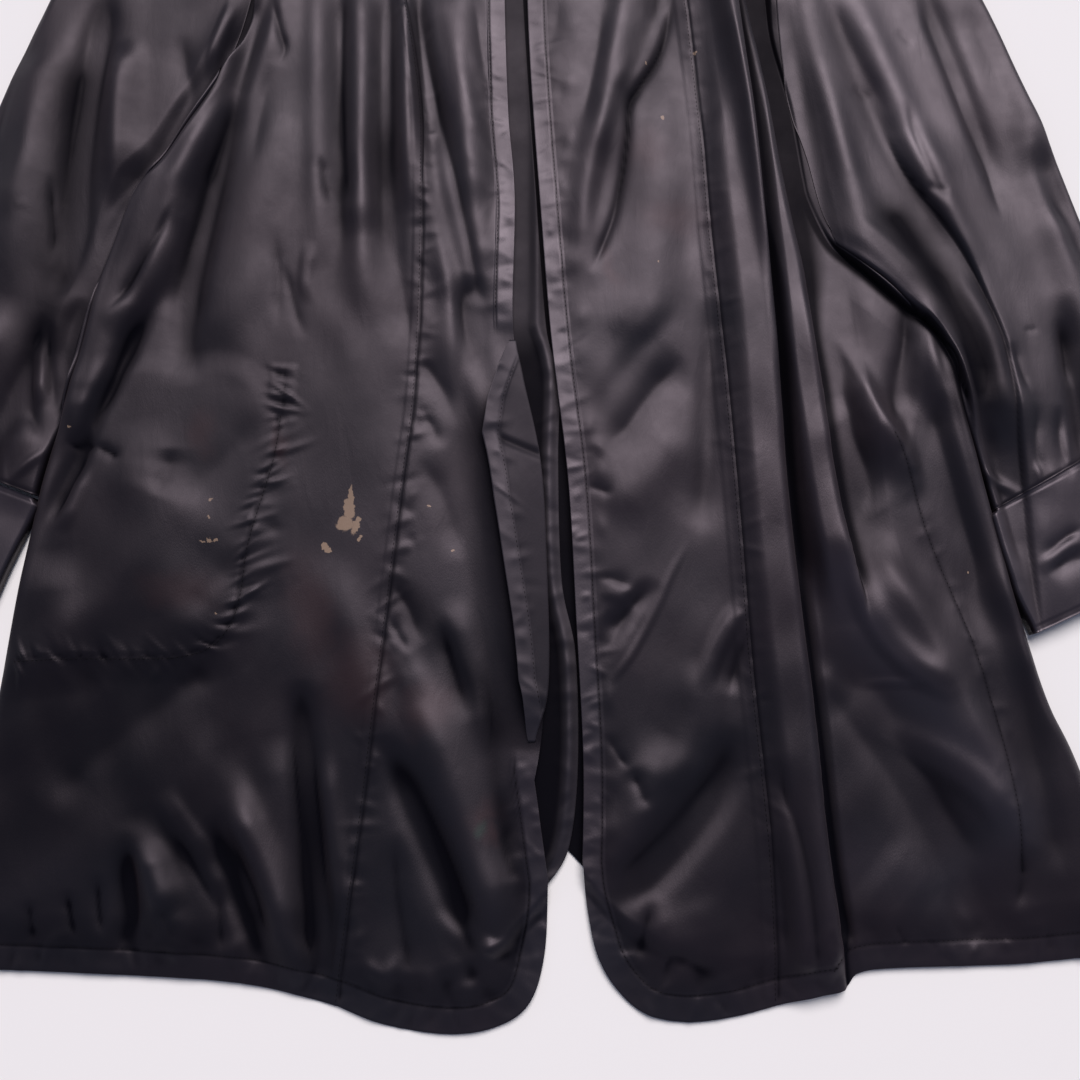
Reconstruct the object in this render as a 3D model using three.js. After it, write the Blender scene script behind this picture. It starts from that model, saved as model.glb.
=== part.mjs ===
// A long, open-fronted satin jacket with set-in sleeves and cuffs, laid out flat on a floor with its back down.
// Millimetres. X runs across the jacket, Y from the hem to the neck, Z up from the floor.
// Left and right are the viewer's, looking down on the fronts with the hem nearest.
//
// Every piece is a wall of cloth on a middle surface. A panel's outline is a patch between four curves on the
// floor plane, and its height comes from one relief shared by all the top layers, so neighbours meet at a seam.
import * as THREE from "three";

// Cloth and clearances
const CLOTH = 1.5;
const TURNING = 1.0;
const SEAM_GAP = 0.45;
const LAYER_GAP = 0.35;

// Heights of the layers' middle surfaces above the floor
const FLOOR_LAYER = CLOTH / 2;
const SECOND_LAYER = FLOOR_LAYER + CLOTH + LAYER_GAP;
const SEAM_HEIGHT = SECOND_LAYER;

// Sizes of the turned and stitched edges, and of the parts of the cut that repeat
const EDGE_BAND = 12;
const HEM_BAND = 17;
const LOFT = 5;
const EDGE_REACH = 36;
const EDGE_LOFT = 0.1;
const EDGE_FOLDS = 0.5;
const HEM_DROP = { start: 2, length: 14 };
const FOLD_FADE = 45;
const EDGE_ROUNDING = 14;
const BAG_CLOTH = 1.0;
const TURN_CLOTH = 1.2;
const TURN_LOFT = 0.6;
const SLEEVE_ROUNDING = 7;
const BODY_CLEARANCE = 2.2;
const BODY_LENGTH = 800;

// Each half of the body. Shares of its side are counted from the hem to the shoulder: the sleeve's fold comes out
// from under the body at the underarm, and lies beside it down to its cuff seam.
const LEFT = { underarm: 0.8, underarmHeight: 229, cuffSeam: 0.375, below: 20, above: 6 };
const RIGHT = { underarm: 0.64, underarmHeight: 104, cuffSeam: 0.357, below: 16, above: 10 };
const VENT_LAP = 36;
const VENT_RISE = 16;
const SHOULDER = { top: 417, slope: 0.18, middle: -20, neck: 58 };
const CENTRE_RISE = { x: 12, spread: 46, height: 4.3 };

// Puts the middle of the jacket's box over the origin
const PLACE = { x: 14.5, y: 2.55 };

const { clamp, lerp } = THREE.MathUtils;
const smooth = (t) => THREE.MathUtils.smoothstep(t, 0, 1);
const steps = (count) => Array.from({ length: count + 1 }, (_, i) => i / count);

// Reads a table: the first line names the columns, and each later line is a row of a name and numbers.
function table(text) {
  const [names, ...lines] = text.trim().split("\n").map((line) => line.trim().split(/\s+/));
  return lines.map((cells) =>
    Object.fromEntries(names.map((name, i) => [name, name === "what" ? cells[i] : Number(cells[i])])));
}

// A smooth curve on the floor plane through the points of a table with columns x and y.
const curve = (text) => new THREE.SplineCurve(table(text).map(({ x, y }) => new THREE.Vector2(x, y)));

// Left front, from the side of the body to the front edge
const leftSide = curve(`
  x     y
  -370  -384
  -352  -213
  -346  -150
  -337  -83
  -327  -30
  -318  20
  -306  82
  -289  134`);
const leftArmhole = curve(`
  x     y
  -289  134
  -269  160
  -231  229
  -213  288
  -206  340
  -215  393`);
const leftPrincess = curve(`
  x     y
  -125  -407
  -110  -270
  -92   -85
  -84   0
  -82   130
  -86   220
  -105  320
  -135  407`);
const leftEdge = curve(`
  x    y
  5    -332
  -1   -290
  -5   -250
  4    -210
  3    -128
  -1   -60
  -13  0
  -19  40
  -18  131
  -23  200
  -26  290
  -25  330`);
const leftSideHem = curve(`
  x     y
  -370  -384
  -286  -387
  -187  -393
  -125  -407`);
const leftFrontHem = curve(`
  x     y
  -125  -407
  -94   -418
  -55   -423
  -25   -418
  -6    -404
  3     -375
  5     -332`);
const leftShoulder = curve(`
  x     y
  -215  393
  -175  400
  -135  407`);
const leftNeck = curve(`
  x    y
  -135 407
  -80  417
  -66  382
  -48  350
  -25  330`);

// Right front, from the front edge to the side of the body
const rightSide = curve(`
  x    y
  380  -374
  346  -262
  329  -219
  314  -156
  308  -124
  298  -70
  290  -22
  284  16`);
const rightArmhole = curve(`
  x    y
  284  16
  250  60
  207  104
  190  165
  178  215
  172  288
  166  340
  175  393`);
const rightPrincess = curve(`
  x    y
  148  -406
  146  -313
  138  -200
  132  -82
  127  10
  120  100
  114  200
  104  310
  90   406`);
const rightEdge = curve(`
  x   y
  27  -321
  28  -257
  24  -167
  19  -72
  8   27
  0   132
  -6  220
  -9  291
  -8  330`);
const rightSideHem = curve(`
  x    y
  148  -406
  172  -400
  190  -396
  199  -387
  224  -384
  293  -382
  337  -378
  380  -374`);
const rightFrontHem = curve(`
  x    y
  27   -321
  30   -350
  36   -377
  48   -397
  65   -411
  90   -416
  120  -413
  148  -406`);
const rightShoulder = curve(`
  x    y
  90   406
  132  400
  175  393`);
const rightNeck = curve(`
  x   y
  -8  330
  12  350
  28  382
  40  417
  90  406`);

// Back, seen on its inside through the open front
const leftVent = curve(`
  x    y
  4    -335
  18   -312
  24   -262
  23   -190
  14   -140
  12   -60
  13   0
  4    37`);
const backSeam = curve(`
  x    y
  4    37
  -4   150
  -12  280
  -18  398`);
const leftBackHem = curve(`
  x     y
  -367  -379
  -230  -383
  -90   -384
  -35   -370
  4     -335`);
const leftBackNeck = curve(`
  x    y
  -213 391
  -80  415
  -60  403
  -18  398`);
const rightVent = curve(`
  x   y
  27  -323
  6   -296
  -4  -240
  -6  -120
  0   0
  4   37`);
const rightBackHem = curve(`
  x    y
  27   -323
  60   -355
  110  -372
  230  -378
  376  -370`);
const rightBackNeck = curve(`
  x   y
  -18 398
  22  403
  42  415
  173 391`);

// Sleeves: the fold along the shoulder and the outside, and the two folds of each cuff
const leftSleeveOutside = curve(`
  x     y
  -215  393
  -260  384
  -312  358
  -345  322
  -366  276
  -392  198
  -430  70
  -456  -40`);
const rightSleeveOutside = curve(`
  x    y
  175  393
  222  384
  275  356
  308  322
  330  280
  356  200
  392  80
  426  -26`);
const leftCuffInside = curve(`
  x     y
  -338  -86
  -358  -136
  -373  -182`);
const leftCuffOutside = curve(`
  x     y
  -456  -40
  -470  -84
  -485  -128`);
const rightCuffInside = curve(`
  x    y
  303  -94
  309  -124
  322  -177`);
const rightCuffOutside = curve(`
  x    y
  426  -26
  440  -70
  456  -116`);

// Two curves end to end as one, a stretch of a curve, and the straight line between two curves' last points.
const joined = (first, second) => new THREE.SplineCurve([...first.points, ...second.points.slice(1)]);
const part = (line, from, to) => ({
  getPointAt: (t) => line.getPointAt(lerp(from, to, t)),
  getLength: () => line.getLength() * Math.abs(to - from),
});
const between = (a, b) => new THREE.LineCurve(a.getPointAt(1), b.getPointAt(1));

const leftBodySide = joined(leftSide, leftArmhole);
const rightBodySide = joined(rightSide, rightArmhole);
const leftSleeveInside = part(leftBodySide, LEFT.underarm, LEFT.cuffSeam);
const rightSleeveInside = part(rightBodySide, RIGHT.underarm, RIGHT.cuffSeam);

const leftOutline = leftBodySide.getPoints(120);
const rightOutline = rightBodySide.getPoints(120);
const ventOutline = leftVent.getPoints(60);
const edgeOutline = leftEdge.getPoints(60);
const backHemOutline = [...leftBackHem.getPoints(40), ...rightBackHem.getPoints(40)];
LEFT.freeEdge = [...leftSideHem.getPoints(60), ...leftFrontHem.getPoints(60), ...leftEdge.getPoints(90)];
RIGHT.freeEdge = [...rightSideHem.getPoints(60).reverse(), ...rightFrontHem.getPoints(60).reverse(),
  ...rightEdge.getPoints(90)];

// How far the turned-back part of the left front edge reaches over the front, along its fold
const TURN_REACH = table(`
  y     reach
  26    3
  4     15
  -17   26
  -42   35
  -87   32
  -128  27
  -167  22
  -207  18
  -225  12
  -246  3`);

// Pocket bags in the side seams, between the back and the side fronts: rectangles with rounded corners
const BAGS = table(`
  what              x     y     halfWidth  halfLength  corner
  pocket_bag_left   -250  -95   66         103         38
  pocket_bag_right  232   -112  46         90          30`);
const STITCH_RIDGE = { height: 0.9, width: 6 };

// The largest folds. A fold runs from (x0, y0) to (x1, y1), bowed sideways, its half width going from w0 to w1.
// A positive height is a ridge and a negative one a trough. A negative lean makes the side on the viewer's right
// of a fold that runs towards the hem the steeper one.
const FOLDS = table(`
  what                     x0    y0    x1    y1    bow   w0  w1  height  lean
  pleat_right_first        126   350   200   -560  2     15  19  12      -0.6
  pleat_right_second       146   350   212   -200  2     13  19  13      -0.55
  pleat_right_hollow       176   340   214   -90   4     13  16  -9      0
  right_diagonal           196   -90   308   -345  14    19  24  11      -0.2
  right_diagonal_hollow    186   -160  290   -400  6     14  18  -7      0
  right_side_roll          262   70    334   -260  -6    12  13  8       0.2
  right_side_hollow        248   20    302   -200  -4    16  20  -7      0
  right_pocket_mouth       192   70    262   -86   -8    15  15  9       -0.3
  right_lower_side         322   -200  352   -400  0     14  18  5       0
  right_hem_flute          262   -330  286   -420  0     10  12  -4      0
  right_breast_ridge       78    340   44    150   -6    15  16  8       0.2
  right_breast_trough      114   340   30    46    -16   7   8   -7      0
  right_upper_trough       112   340   122   160   2     9   9   -7      0
  right_band_ridge         50    215   28    60    -4    12  12  5       0
  right_chest_ridge        96    240   74    -10   -4    20  22  6       0
  right_pull_upper         98    52    24    -48   -4    7   9   -6      0
  right_waist_ridge        100   -30   34    -96   6     19  20  6       0
  right_seam_trough        120   60    106   -120  0     7   7   -4      0
  right_pull_lower         78    -140  32    -202  -4    6   8   -5      0
  right_hem_trough         128   -250  34    -356  10    10  12  -7      0
  right_hem_ridge          84    -240  38    -330  4     14  14  6       0
  right_corner_ridge       60    -350  106   -392  2     10  12  5       0
  left_breast_trough       -92   350   -28   -30   -14   7   8   -7      0
  left_breast_ridge        -60   340   -36   120   -2    15  13  8       0
  left_seam_ridge          -82   210   -54   -50   6     11  12  6       0
  left_seam_upper          -98   345   -94   100   0     9   9   6       0
  left_first_trough        -112  345   -104  40    0     8   12  -5      0
  left_first_ridge         -134  345   -122  20    0     10  11  6       0
  left_second_trough       -150  345   -136  60    0     8   8   -5      0
  left_second_ridge        -166  345   -154  70    0     9   9   5       0
  left_long_trough         -188  330   -248  -10   -10   8   10  -7      0
  left_chest_ridge         -180  230   -218  -10   -4    20  24  8       0
  left_armhole_trough      -218  270   -310  36    -12   7   7   -7      0
  left_armhole_ridge       -206  310   -296  88    -2    11  12  7       0
  left_underarm_ridge      -224  220   -274  40    -8    11  12  6       0
  left_side_crease         -262  72    -338  -126  0     6   7   -5      0
  left_pocket_swell        -276  -30   -238  -200  0     30  40  6       0
  left_low_side_swell      -330  -120  -318  -220  0     20  24  4       0
  left_panel_ridge         -140  -120  -84   -300  0     13  15  5       0
  left_hem_trough_first    -158  -200  -132  -440  0     8   9   -7      0
  left_hem_ridge_first     -204  -250  -138  -420  0     12  12  7       0
  left_hem_ridge_second    -258  -290  -214  -400  0     11  12  6       0
  left_hem_trough_second   -262  -300  -254  -420  0     6   7   -5      0
  left_hem_trough_third    -212  -290  -166  -400  0     7   7   -5      0
  left_front_trough        -112  -230  -34   -396  6     8   10  -7      0
  left_front_ridge         -92   -190  -22   -400  8     15  16  7       0
  left_edge_hollow         -30   -180  -6    -372  0     9   9   -6      0
  left_sleeve_trough       -314  330   -326  50    -8    9   10  -8      0
  left_sleeve_ridge        -300  260   -298  120   -4    10  9   7       0
  left_sleeve_outer_ridge  -346  290   -376  40    0     16  18  7       0
  left_sleeve_low_trough   -342  30    -392  -110  0     10  12  -6      0
  left_sleeve_low_ridge    -368  60    -424  -100  0     12  14  7       0
  right_sleeve_ridge       180   330   236   96    -6    9   9   8       0
  right_sleeve_trough      200   320   322   22    -10   8   9   -8      0
  right_sleeve_long_ridge  212   330   334   -96   10    11  12  10      0
  right_sleeve_crease      272   330   330   120   2     7   8   -5      0
  right_sleeve_outer_ridge 336   250   388   -60   4     15  16  7       0
  right_sleeve_low_trough  350   190   384   60    0     8   9   -5      0
  right_sleeve_cuff_fold   360   60    368   -80   0     7   8   -5      0`);

// Height that one fold adds at a point: a bell across the fold, fading at both of its ends.
function foldHeight(fold, x, y) {
  const dx = fold.x1 - fold.x0;
  const dy = fold.y1 - fold.y0;
  const length = Math.hypot(dx, dy);
  const along = ((x - fold.x0) * dx + (y - fold.y0) * dy) / length ** 2;
  if (along <= 0 || along >= 1) return 0;
  const aside = ((y - fold.y0) * dx - (x - fold.x0) * dy) / length - fold.bow * 4 * along * (1 - along);
  const halfWidth = lerp(fold.w0, fold.w1, along) * (1 + fold.lean * Math.sign(aside));
  const reach = Math.min(FOLD_FADE, 0.3 * length);
  const fade = smooth((along * length) / reach) * smooth(((1 - along) * length) / reach);
  return fold.height * fade * Math.exp(-((aside / halfWidth) ** 2));
}

// Signed distance from a point to a bag's outline, negative inside it.
function bagDistance(bag, x, y) {
  const dx = Math.abs(x - bag.x) - bag.halfWidth + bag.corner;
  const dy = Math.abs(y - bag.y) - bag.halfLength + bag.corner;
  return Math.hypot(Math.max(dx, 0), Math.max(dy, 0)) + Math.min(Math.max(dx, dy), 0) - bag.corner;
}

// Least height of the top layer: over the back, over the lapped vent in the middle, and over the pocket bags.
// Past the back's hem it goes down to the floor.
function underlay(x, y) {
  const centre = CENTRE_RISE.height * Math.exp(-(((x - CENTRE_RISE.x) / CENTRE_RISE.spread) ** 2));
  const bags = BAGS.map((bag) => {
    const away = bagDistance(bag, x, y);
    const over = (BAG_CLOTH + LAYER_GAP) * smooth((8 - away) / 6);
    return over + STITCH_RIDGE.height * Math.exp(-((away / STITCH_RIDGE.width) ** 2));
  });
  const past = across(backHemOutline.map((p) => ({ x: p.y, y: p.x })), x) - y;
  const onBack = smooth((HEM_DROP.length + HEM_DROP.start - past) / HEM_DROP.length);
  return lerp(FLOOR_LAYER, SECOND_LAYER + centre + Math.max(...bags), onBack);
}

// Height of the loose cloth above its underlay: the loft and every fold, never below nothing. Inland is 0 on a free
// edge, where the cloth comes down, and 1 away from it.
function rise(x, y, inland = 1) {
  const folds = FOLDS.reduce((sum, fold) => sum + foldHeight(fold, x, y), 0);
  const total = LOFT * lerp(EDGE_LOFT, 1, inland) + folds * lerp(EDGE_FOLDS, 1, inland);
  return (total + Math.sqrt(total ** 2 + 4)) / 2;
}

// Distance from a point to the nearest place on an outline.
function edgeDistance(points, x, y) {
  let nearest = Infinity;
  for (let k = 1; k < points.length; k++) {
    const [a, b] = [points[k - 1], points[k]];
    const [dx, dy] = [b.x - a.x, b.y - a.y];
    const t = clamp(((x - a.x) * dx + (y - a.y) * dy) / (dx * dx + dy * dy + 1e-9), 0, 1);
    nearest = Math.min(nearest, Math.hypot(x - a.x - t * dx, y - a.y - t * dy));
  }
  return nearest;
}

// Where an outline that climbs from the hem stands at a height y.
function across(points, y) {
  const last = points.length - 1;
  const k = clamp(points.findIndex((p) => p.y > y), 1, last);
  const t = clamp((y - points[k - 1].y) / (points[k].y - points[k - 1].y), 0, 1);
  return y > points[last].y ? points[last].x : lerp(points[k - 1].x, points[k].x, t);
}

// How far the turned-back edge reaches at a height y, and the heights of its rows.
function turnReach(y) {
  const k = clamp(TURN_REACH.findIndex((row) => row.y < y), 1, TURN_REACH.length - 1);
  const [above, below] = [TURN_REACH[k - 1], TURN_REACH[k]];
  return lerp(above.reach, below.reach, clamp((above.y - y) / (above.y - below.y), 0, 1));
}
const turnRows = (count) => steps(count).map((t) => lerp(TURN_REACH.at(-1).y, TURN_REACH[0].y, t));

// A quarter round that leaves an edge at 0 and is level at 1.
const quarterRound = (t) => Math.sqrt(1 - (1 - clamp(t, 0, 1)) ** 2);

// The fronts' top layer: the rise is rolled down to the back along the side seams and the shoulders.
function frontHeight(half, x, y) {
  const sideways = half === LEFT ? x - across(leftOutline, y) : across(rightOutline, y) - x;
  const underarm = half.underarmHeight;
  const atSide = lerp(quarterRound(sideways / EDGE_ROUNDING), 1, smooth((y - underarm + 30) / 50));
  const shoulder = SHOULDER.top - SHOULDER.slope * Math.abs(Math.abs(x - SHOULDER.middle) - SHOULDER.neck) - y;
  const atShoulder = quarterRound(shoulder / EDGE_ROUNDING);
  const under = underlay(x, y);
  const inland = smooth(edgeDistance(half.freeEdge, x, y) / EDGE_REACH);
  return lerp(SEAM_HEIGHT, under, atSide * atShoulder) + rise(x, y, inland) * atSide * atShoulder;
}
const leftFrontHeight = (x, y) => frontHeight(LEFT, x, y);
const rightFrontHeight = (x, y) => frontHeight(RIGHT, x, y);

const rightBackHeight = () => FLOOR_LAYER;

// The left back laps over the right one below the top of the vent; elsewhere both lie on the floor.
function leftBackHeight(x, y) {
  const lap = smooth((x + VENT_LAP - across(ventOutline, Math.min(y, 37)) + VENT_RISE) / VENT_RISE);
  return lerp(FLOOR_LAYER, SECOND_LAYER, lap * smooth((120 - y) / 50));
}

// A point inside the patch between four curves: hem and top run the same way, and so do the two sides.
function patch(hem, top, first, second, u, v) {
  const point = new THREE.Vector2();
  const add = (p, share) => point.addScaledVector(p, share);
  add(hem.getPointAt(u), 1 - v);
  add(top.getPointAt(u), v);
  add(first.getPointAt(v), 1 - u);
  add(second.getPointAt(v), u);
  add(hem.getPointAt(0), -(1 - u) * (1 - v));
  add(hem.getPointAt(1), -u * (1 - v));
  add(top.getPointAt(0), -(1 - u) * v);
  add(top.getPointAt(1), -u * v);
  return point;
}

// Unit normal of a tube's middle surface at a grid point, from its neighbours.
function tubeNormal(grid, row, column) {
  const columns = grid[0].length;
  const around = grid[row][(column + 1) % columns].clone().sub(grid[row][(column + columns - 1) % columns]);
  const along = grid[Math.min(row + 1, grid.length - 1)][column].clone().sub(grid[Math.max(row - 1, 0)][column]);
  return around.cross(along).normalize();
}

// A closed wall between two grids of points, rows along the piece and columns across it.
// The wall of a closed grid is a tube, open at its two ends.
function wall(upper, lower, closed = false) {
  const rows = upper.length;
  const columns = upper[0].length;
  const positions = [...upper, ...lower].flat().flatMap((point) => point.toArray());
  const index = [];
  const outer = (row, column) => row * columns + (column % columns);
  const inner = (row, column) => outer(row, column) + rows * columns;
  const quad = (a, b, c, d) => index.push(a, b, c, a, c, d);
  const cells = closed ? columns : columns - 1;
  for (let row = 0; row < rows - 1; row++) {
    for (let column = 0; column < cells; column++) {
      quad(outer(row, column), outer(row, column + 1), outer(row + 1, column + 1), outer(row + 1, column));
      quad(inner(row, column), inner(row + 1, column), inner(row + 1, column + 1), inner(row, column + 1));
    }
    if (!closed) {
      quad(outer(row, 0), outer(row + 1, 0), inner(row + 1, 0), inner(row, 0));
      quad(outer(row + 1, cells), outer(row, cells), inner(row, cells), inner(row + 1, cells));
    }
  }
  for (let column = 0; column < cells; column++) {
    quad(outer(0, column + 1), outer(0, column), inner(0, column), inner(0, column + 1));
    quad(outer(rows - 1, column), outer(rows - 1, column + 1), inner(rows - 1, column + 1), inner(rows - 1, column));
  }
  const geometry = new THREE.BufferGeometry();
  geometry.setAttribute("position", new THREE.Float32BufferAttribute(positions, 3));
  geometry.setIndex(index);
  geometry.computeVertexNormals();
  return geometry;
}

// The point that lies a distance out from a height's surface, along its normal.
function raised({ x, y }, height, out) {
  const step = 1.5;
  const slopeX = (height(x + step, y) - height(x - step, y)) / (2 * step);
  const slopeY = (height(x, y + step) - height(x, y - step)) / (2 * step);
  const normal = new THREE.Vector3(-slopeX, -slopeY, 1).normalize();
  return new THREE.Vector3(x, y, height(x, y)).addScaledVector(normal, out);
}

// A wall of cloth whose middle lies a distance out from a height's surface, over a grid of floor points.
// A point's extra thickness is added on its outer side.
function laid(grid, height, thickness, out = 0) {
  const layer = (reach, share) => grid.map((row) => row.map((point) =>
    raised(point, height, out + reach + share * (point.extra ?? 0))));
  return wall(layer(thickness / 2, 1), layer(-thickness / 2, 0));
}

const satin = new THREE.MeshStandardMaterial({ color: 0x1c1a1d, roughness: 0.42, metalness: 0 });
const satinInside = new THREE.MeshStandardMaterial({ color: 0x232024, roughness: 0.55, metalness: 0 });
const bagCloth = new THREE.MeshStandardMaterial({ color: 0x18171a, roughness: 0.8, metalness: 0 });

const jacket = new THREE.Group();
jacket.name = "open_front_jacket";
jacket.position.set(PLACE.x, PLACE.y, 0);

function piece(name, geometry, material) {
  const mesh = new THREE.Mesh(geometry, material);
  mesh.name = name;
  jacket.add(mesh);
}

// Rows up a half of the body: the two lines of the turned hem, even rows to the underarm and even rows above it.
function bodyRows({ underarm, below, above }) {
  const hem = HEM_BAND / BODY_LENGTH;
  const side = steps(below).map((t) => lerp(hem + 0.003, underarm, t));
  return [0, hem, ...side, ...steps(above).slice(1).map((t) => lerp(underarm, 1, t))];
}

// Columns across a panel: even ones, or even ones and the two lines of a turned edge that takes a share of it.
function panelColumns(count, share, atStart) {
  if (!share) return steps(count);
  const fromPlain = [...steps(count - 2).map((t) => t * (1 - share) * 0.985), 1 - share, 1];
  return atStart ? fromPlain.map((u) => 1 - u).reverse() : fromPlain;
}

// A panel: a patch with its two long sides drawn in by the seam gap, lifted to a height. Crowding draws the
// columns towards the second side. A turned hem, and a turned front edge at the start or the end, are thicker.
function panel(name, spec) {
  const { hem, top, first, second, columns, half, height, crowding = 1, edge, turnedHem = true } = spec;
  const grid = bodyRows(half).map((v) => {
    const share = edge ? EDGE_BAND / first.getPointAt(v).distanceTo(second.getPointAt(v)) : 0;
    return panelColumns(columns, share, edge === "start").map((t) => {
      const u = 1 - (1 - t) ** crowding;
      const point = patch(hem, top, first, second, u, v);
      point.x += (SEAM_GAP / 2) * (1 - 2 * u);
      const onEdge = share > 0 && (edge === "start" ? u : 1 - u) <= share + 1e-6;
      const onHem = turnedHem && v <= HEM_BAND / BODY_LENGTH;
      point.extra = onEdge || onHem ? TURNING : 0;
      return point;
    });
  });
  piece(name, laid(grid, height, CLOTH), spec.material ?? satin);
}

// A flattened tube between an inside and an outside fold: its lower layer lies on the floor, its upper one
// carries the folds, and both are rolled together at the two folds. It stands clear of what it is sewn to at
// its start, and of the body that lies beside its inside fold.
function sleeve(name, { start, end, inside, outside, columns, rows, startShift }) {
  const upper = steps(columns);
  const lower = steps(columns / 2).slice(1, -1).reverse();
  const outward = Math.sign(outside.getPointAt(1).x - inside.getPointAt(1).x);
  const grid = steps(rows).map((v) => {
    const span = lerp(start.getLength(), end.getLength(), v);
    const placed = (u, height) => {
      const point = patch(start, end, inside, outside, u, v);
      const begun = smooth(v * rows);
      point.x += lerp(startShift.x, outward * BODY_CLEARANCE * (1 - u), begun);
      point.y += startShift.y * (1 - begun);
      const round = quarterRound((Math.min(u, 1 - u) * span) / SLEEVE_ROUNDING);
      return new THREE.Vector3(point.x, point.y, lerp(SEAM_HEIGHT, height(point.x, point.y), round));
    };
    const top = upper.map((u) => placed(u, (x, y) => SECOND_LAYER + rise(x, y)));
    const bottom = lower.map((u) => placed(u, () => FLOOR_LAYER));
    const ring = [...top, ...bottom];
    return outward > 0 ? ring : ring.reverse();
  });
  const layer = (out) => grid.map((row, i) => row.map((point, j) =>
    point.clone().addScaledVector(tubeNormal(grid, i, j), out)));
  piece(name, wall(layer(CLOTH / 2), layer(-CLOTH / 2), true), satin);
}

// A flat bag with rounded corners between the back and a side front.
function bag({ what, x, y, halfWidth, halfLength, corner }) {
  const outline = new THREE.Shape();
  outline.absarc(x + halfWidth - corner, y + halfLength - corner, corner, 0, Math.PI / 2);
  outline.absarc(x - halfWidth + corner, y + halfLength - corner, corner, Math.PI / 2, Math.PI);
  outline.absarc(x - halfWidth + corner, y - halfLength + corner, corner, Math.PI, Math.PI * 1.5);
  outline.absarc(x + halfWidth - corner, y - halfLength + corner, corner, Math.PI * 1.5, Math.PI * 2);
  const geometry = new THREE.ExtrudeGeometry(outline, { depth: BAG_CLOTH, bevelEnabled: false, curveSegments: 6 });
  piece(what, geometry.translate(0, 0, CLOTH + LAYER_GAP), bagCloth);
}

// The part of the left front edge that is turned back on itself, held by its fold along the edge.
function turnedEdge(name, { rows, columns }) {
  const grid = turnRows(rows).map((y) => steps(columns).map((t) =>
    new THREE.Vector2(across(edgeOutline, y) - 0.6 - lerp(turnReach(y), 0, t), y)));
  piece(name, laid(grid, leftFrontHeight, TURN_CLOTH, (CLOTH + TURN_CLOTH) / 2 + TURNING + TURN_LOFT), satinInside);
}

// Back
panel("back_left", {
  hem: leftBackHem, top: leftBackNeck, first: leftBodySide, second: joined(leftVent, backSeam),
  columns: 13, half: LEFT, height: leftBackHeight, crowding: 2.2, turnedHem: false, material: satinInside,
});
panel("back_right", {
  hem: rightBackHem, top: rightBackNeck, first: joined(rightVent, backSeam), second: rightBodySide,
  columns: 5, half: RIGHT, height: rightBackHeight, turnedHem: false, material: satinInside,
});

// Pocket bags
BAGS.forEach(bag);

// Fronts
panel("side_front_left", {
  hem: leftSideHem, top: leftShoulder, first: leftBodySide, second: leftPrincess,
  columns: 14, half: LEFT, height: leftFrontHeight,
});
panel("front_left", {
  hem: leftFrontHem, top: leftNeck, first: leftPrincess, second: leftEdge,
  columns: 10, half: LEFT, height: leftFrontHeight, edge: "end",
});
panel("front_right", {
  hem: rightFrontHem, top: rightNeck, first: rightEdge, second: rightPrincess,
  columns: 10, half: RIGHT, height: rightFrontHeight, edge: "start",
});
panel("side_front_right", {
  hem: rightSideHem, top: rightShoulder, first: rightPrincess, second: rightBodySide,
  columns: 17, half: RIGHT, height: rightFrontHeight,
});
turnedEdge("turned_edge_left", { rows: 14, columns: 3 });

// Sleeves and cuffs
sleeve("sleeve_left", {
  start: part(leftBodySide, LEFT.underarm, 1), end: between(leftSleeveInside, leftSleeveOutside),
  inside: leftSleeveInside, outside: leftSleeveOutside, columns: 18, rows: 14, startShift: { x: -1.2, y: 0 },
});
sleeve("sleeve_right", {
  start: part(rightBodySide, RIGHT.underarm, 1), end: between(rightSleeveInside, rightSleeveOutside),
  inside: rightSleeveInside, outside: rightSleeveOutside, columns: 20, rows: 16, startShift: { x: 1.2, y: 0 },
});
sleeve("cuff_left", {
  start: between(leftSleeveInside, leftSleeveOutside), end: between(leftCuffInside, leftCuffOutside),
  inside: leftCuffInside, outside: leftCuffOutside, columns: 12, rows: 4, startShift: { x: -0.4, y: -1.3 },
});
sleeve("cuff_right", {
  start: between(rightSleeveInside, rightSleeveOutside), end: between(rightCuffInside, rightCuffOutside),
  inside: rightCuffInside, outside: rightCuffOutside, columns: 12, rows: 4, startShift: { x: 0.4, y: -1.3 },
});

export default jacket;
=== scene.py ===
"""Dresses the frame of a long open-fronted satin jacket that lies on its back on a pale floor.

Sizes in the tables are millimetres on the jacket's own plan: X to the right, Y from the hem to the neck,
Z up from the floor. Left and right are the viewer's. One relief gives the height of every top layer, so that
pieces meet at their seams. It adds the sewn detail and the small creases to the large folds of the frame.
"""

import logging
import math
from collections.abc import Callable, Iterable
from dataclasses import dataclass, field
from enum import Enum

import bpy
import numpy as np
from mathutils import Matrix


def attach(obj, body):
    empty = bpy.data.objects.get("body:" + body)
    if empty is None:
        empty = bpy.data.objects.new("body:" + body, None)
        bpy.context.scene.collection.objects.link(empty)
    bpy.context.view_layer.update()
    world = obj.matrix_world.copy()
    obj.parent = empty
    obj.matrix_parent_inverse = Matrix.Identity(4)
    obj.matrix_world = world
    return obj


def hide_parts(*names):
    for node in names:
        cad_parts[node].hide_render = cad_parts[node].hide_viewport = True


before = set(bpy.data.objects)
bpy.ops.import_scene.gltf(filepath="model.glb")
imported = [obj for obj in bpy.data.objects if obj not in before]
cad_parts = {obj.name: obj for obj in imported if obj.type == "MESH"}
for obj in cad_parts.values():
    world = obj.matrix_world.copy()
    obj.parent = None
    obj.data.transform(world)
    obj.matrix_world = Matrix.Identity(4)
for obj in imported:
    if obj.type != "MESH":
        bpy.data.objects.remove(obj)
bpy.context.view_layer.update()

LOG = logging.getLogger("jacket")
Array = np.ndarray
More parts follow.
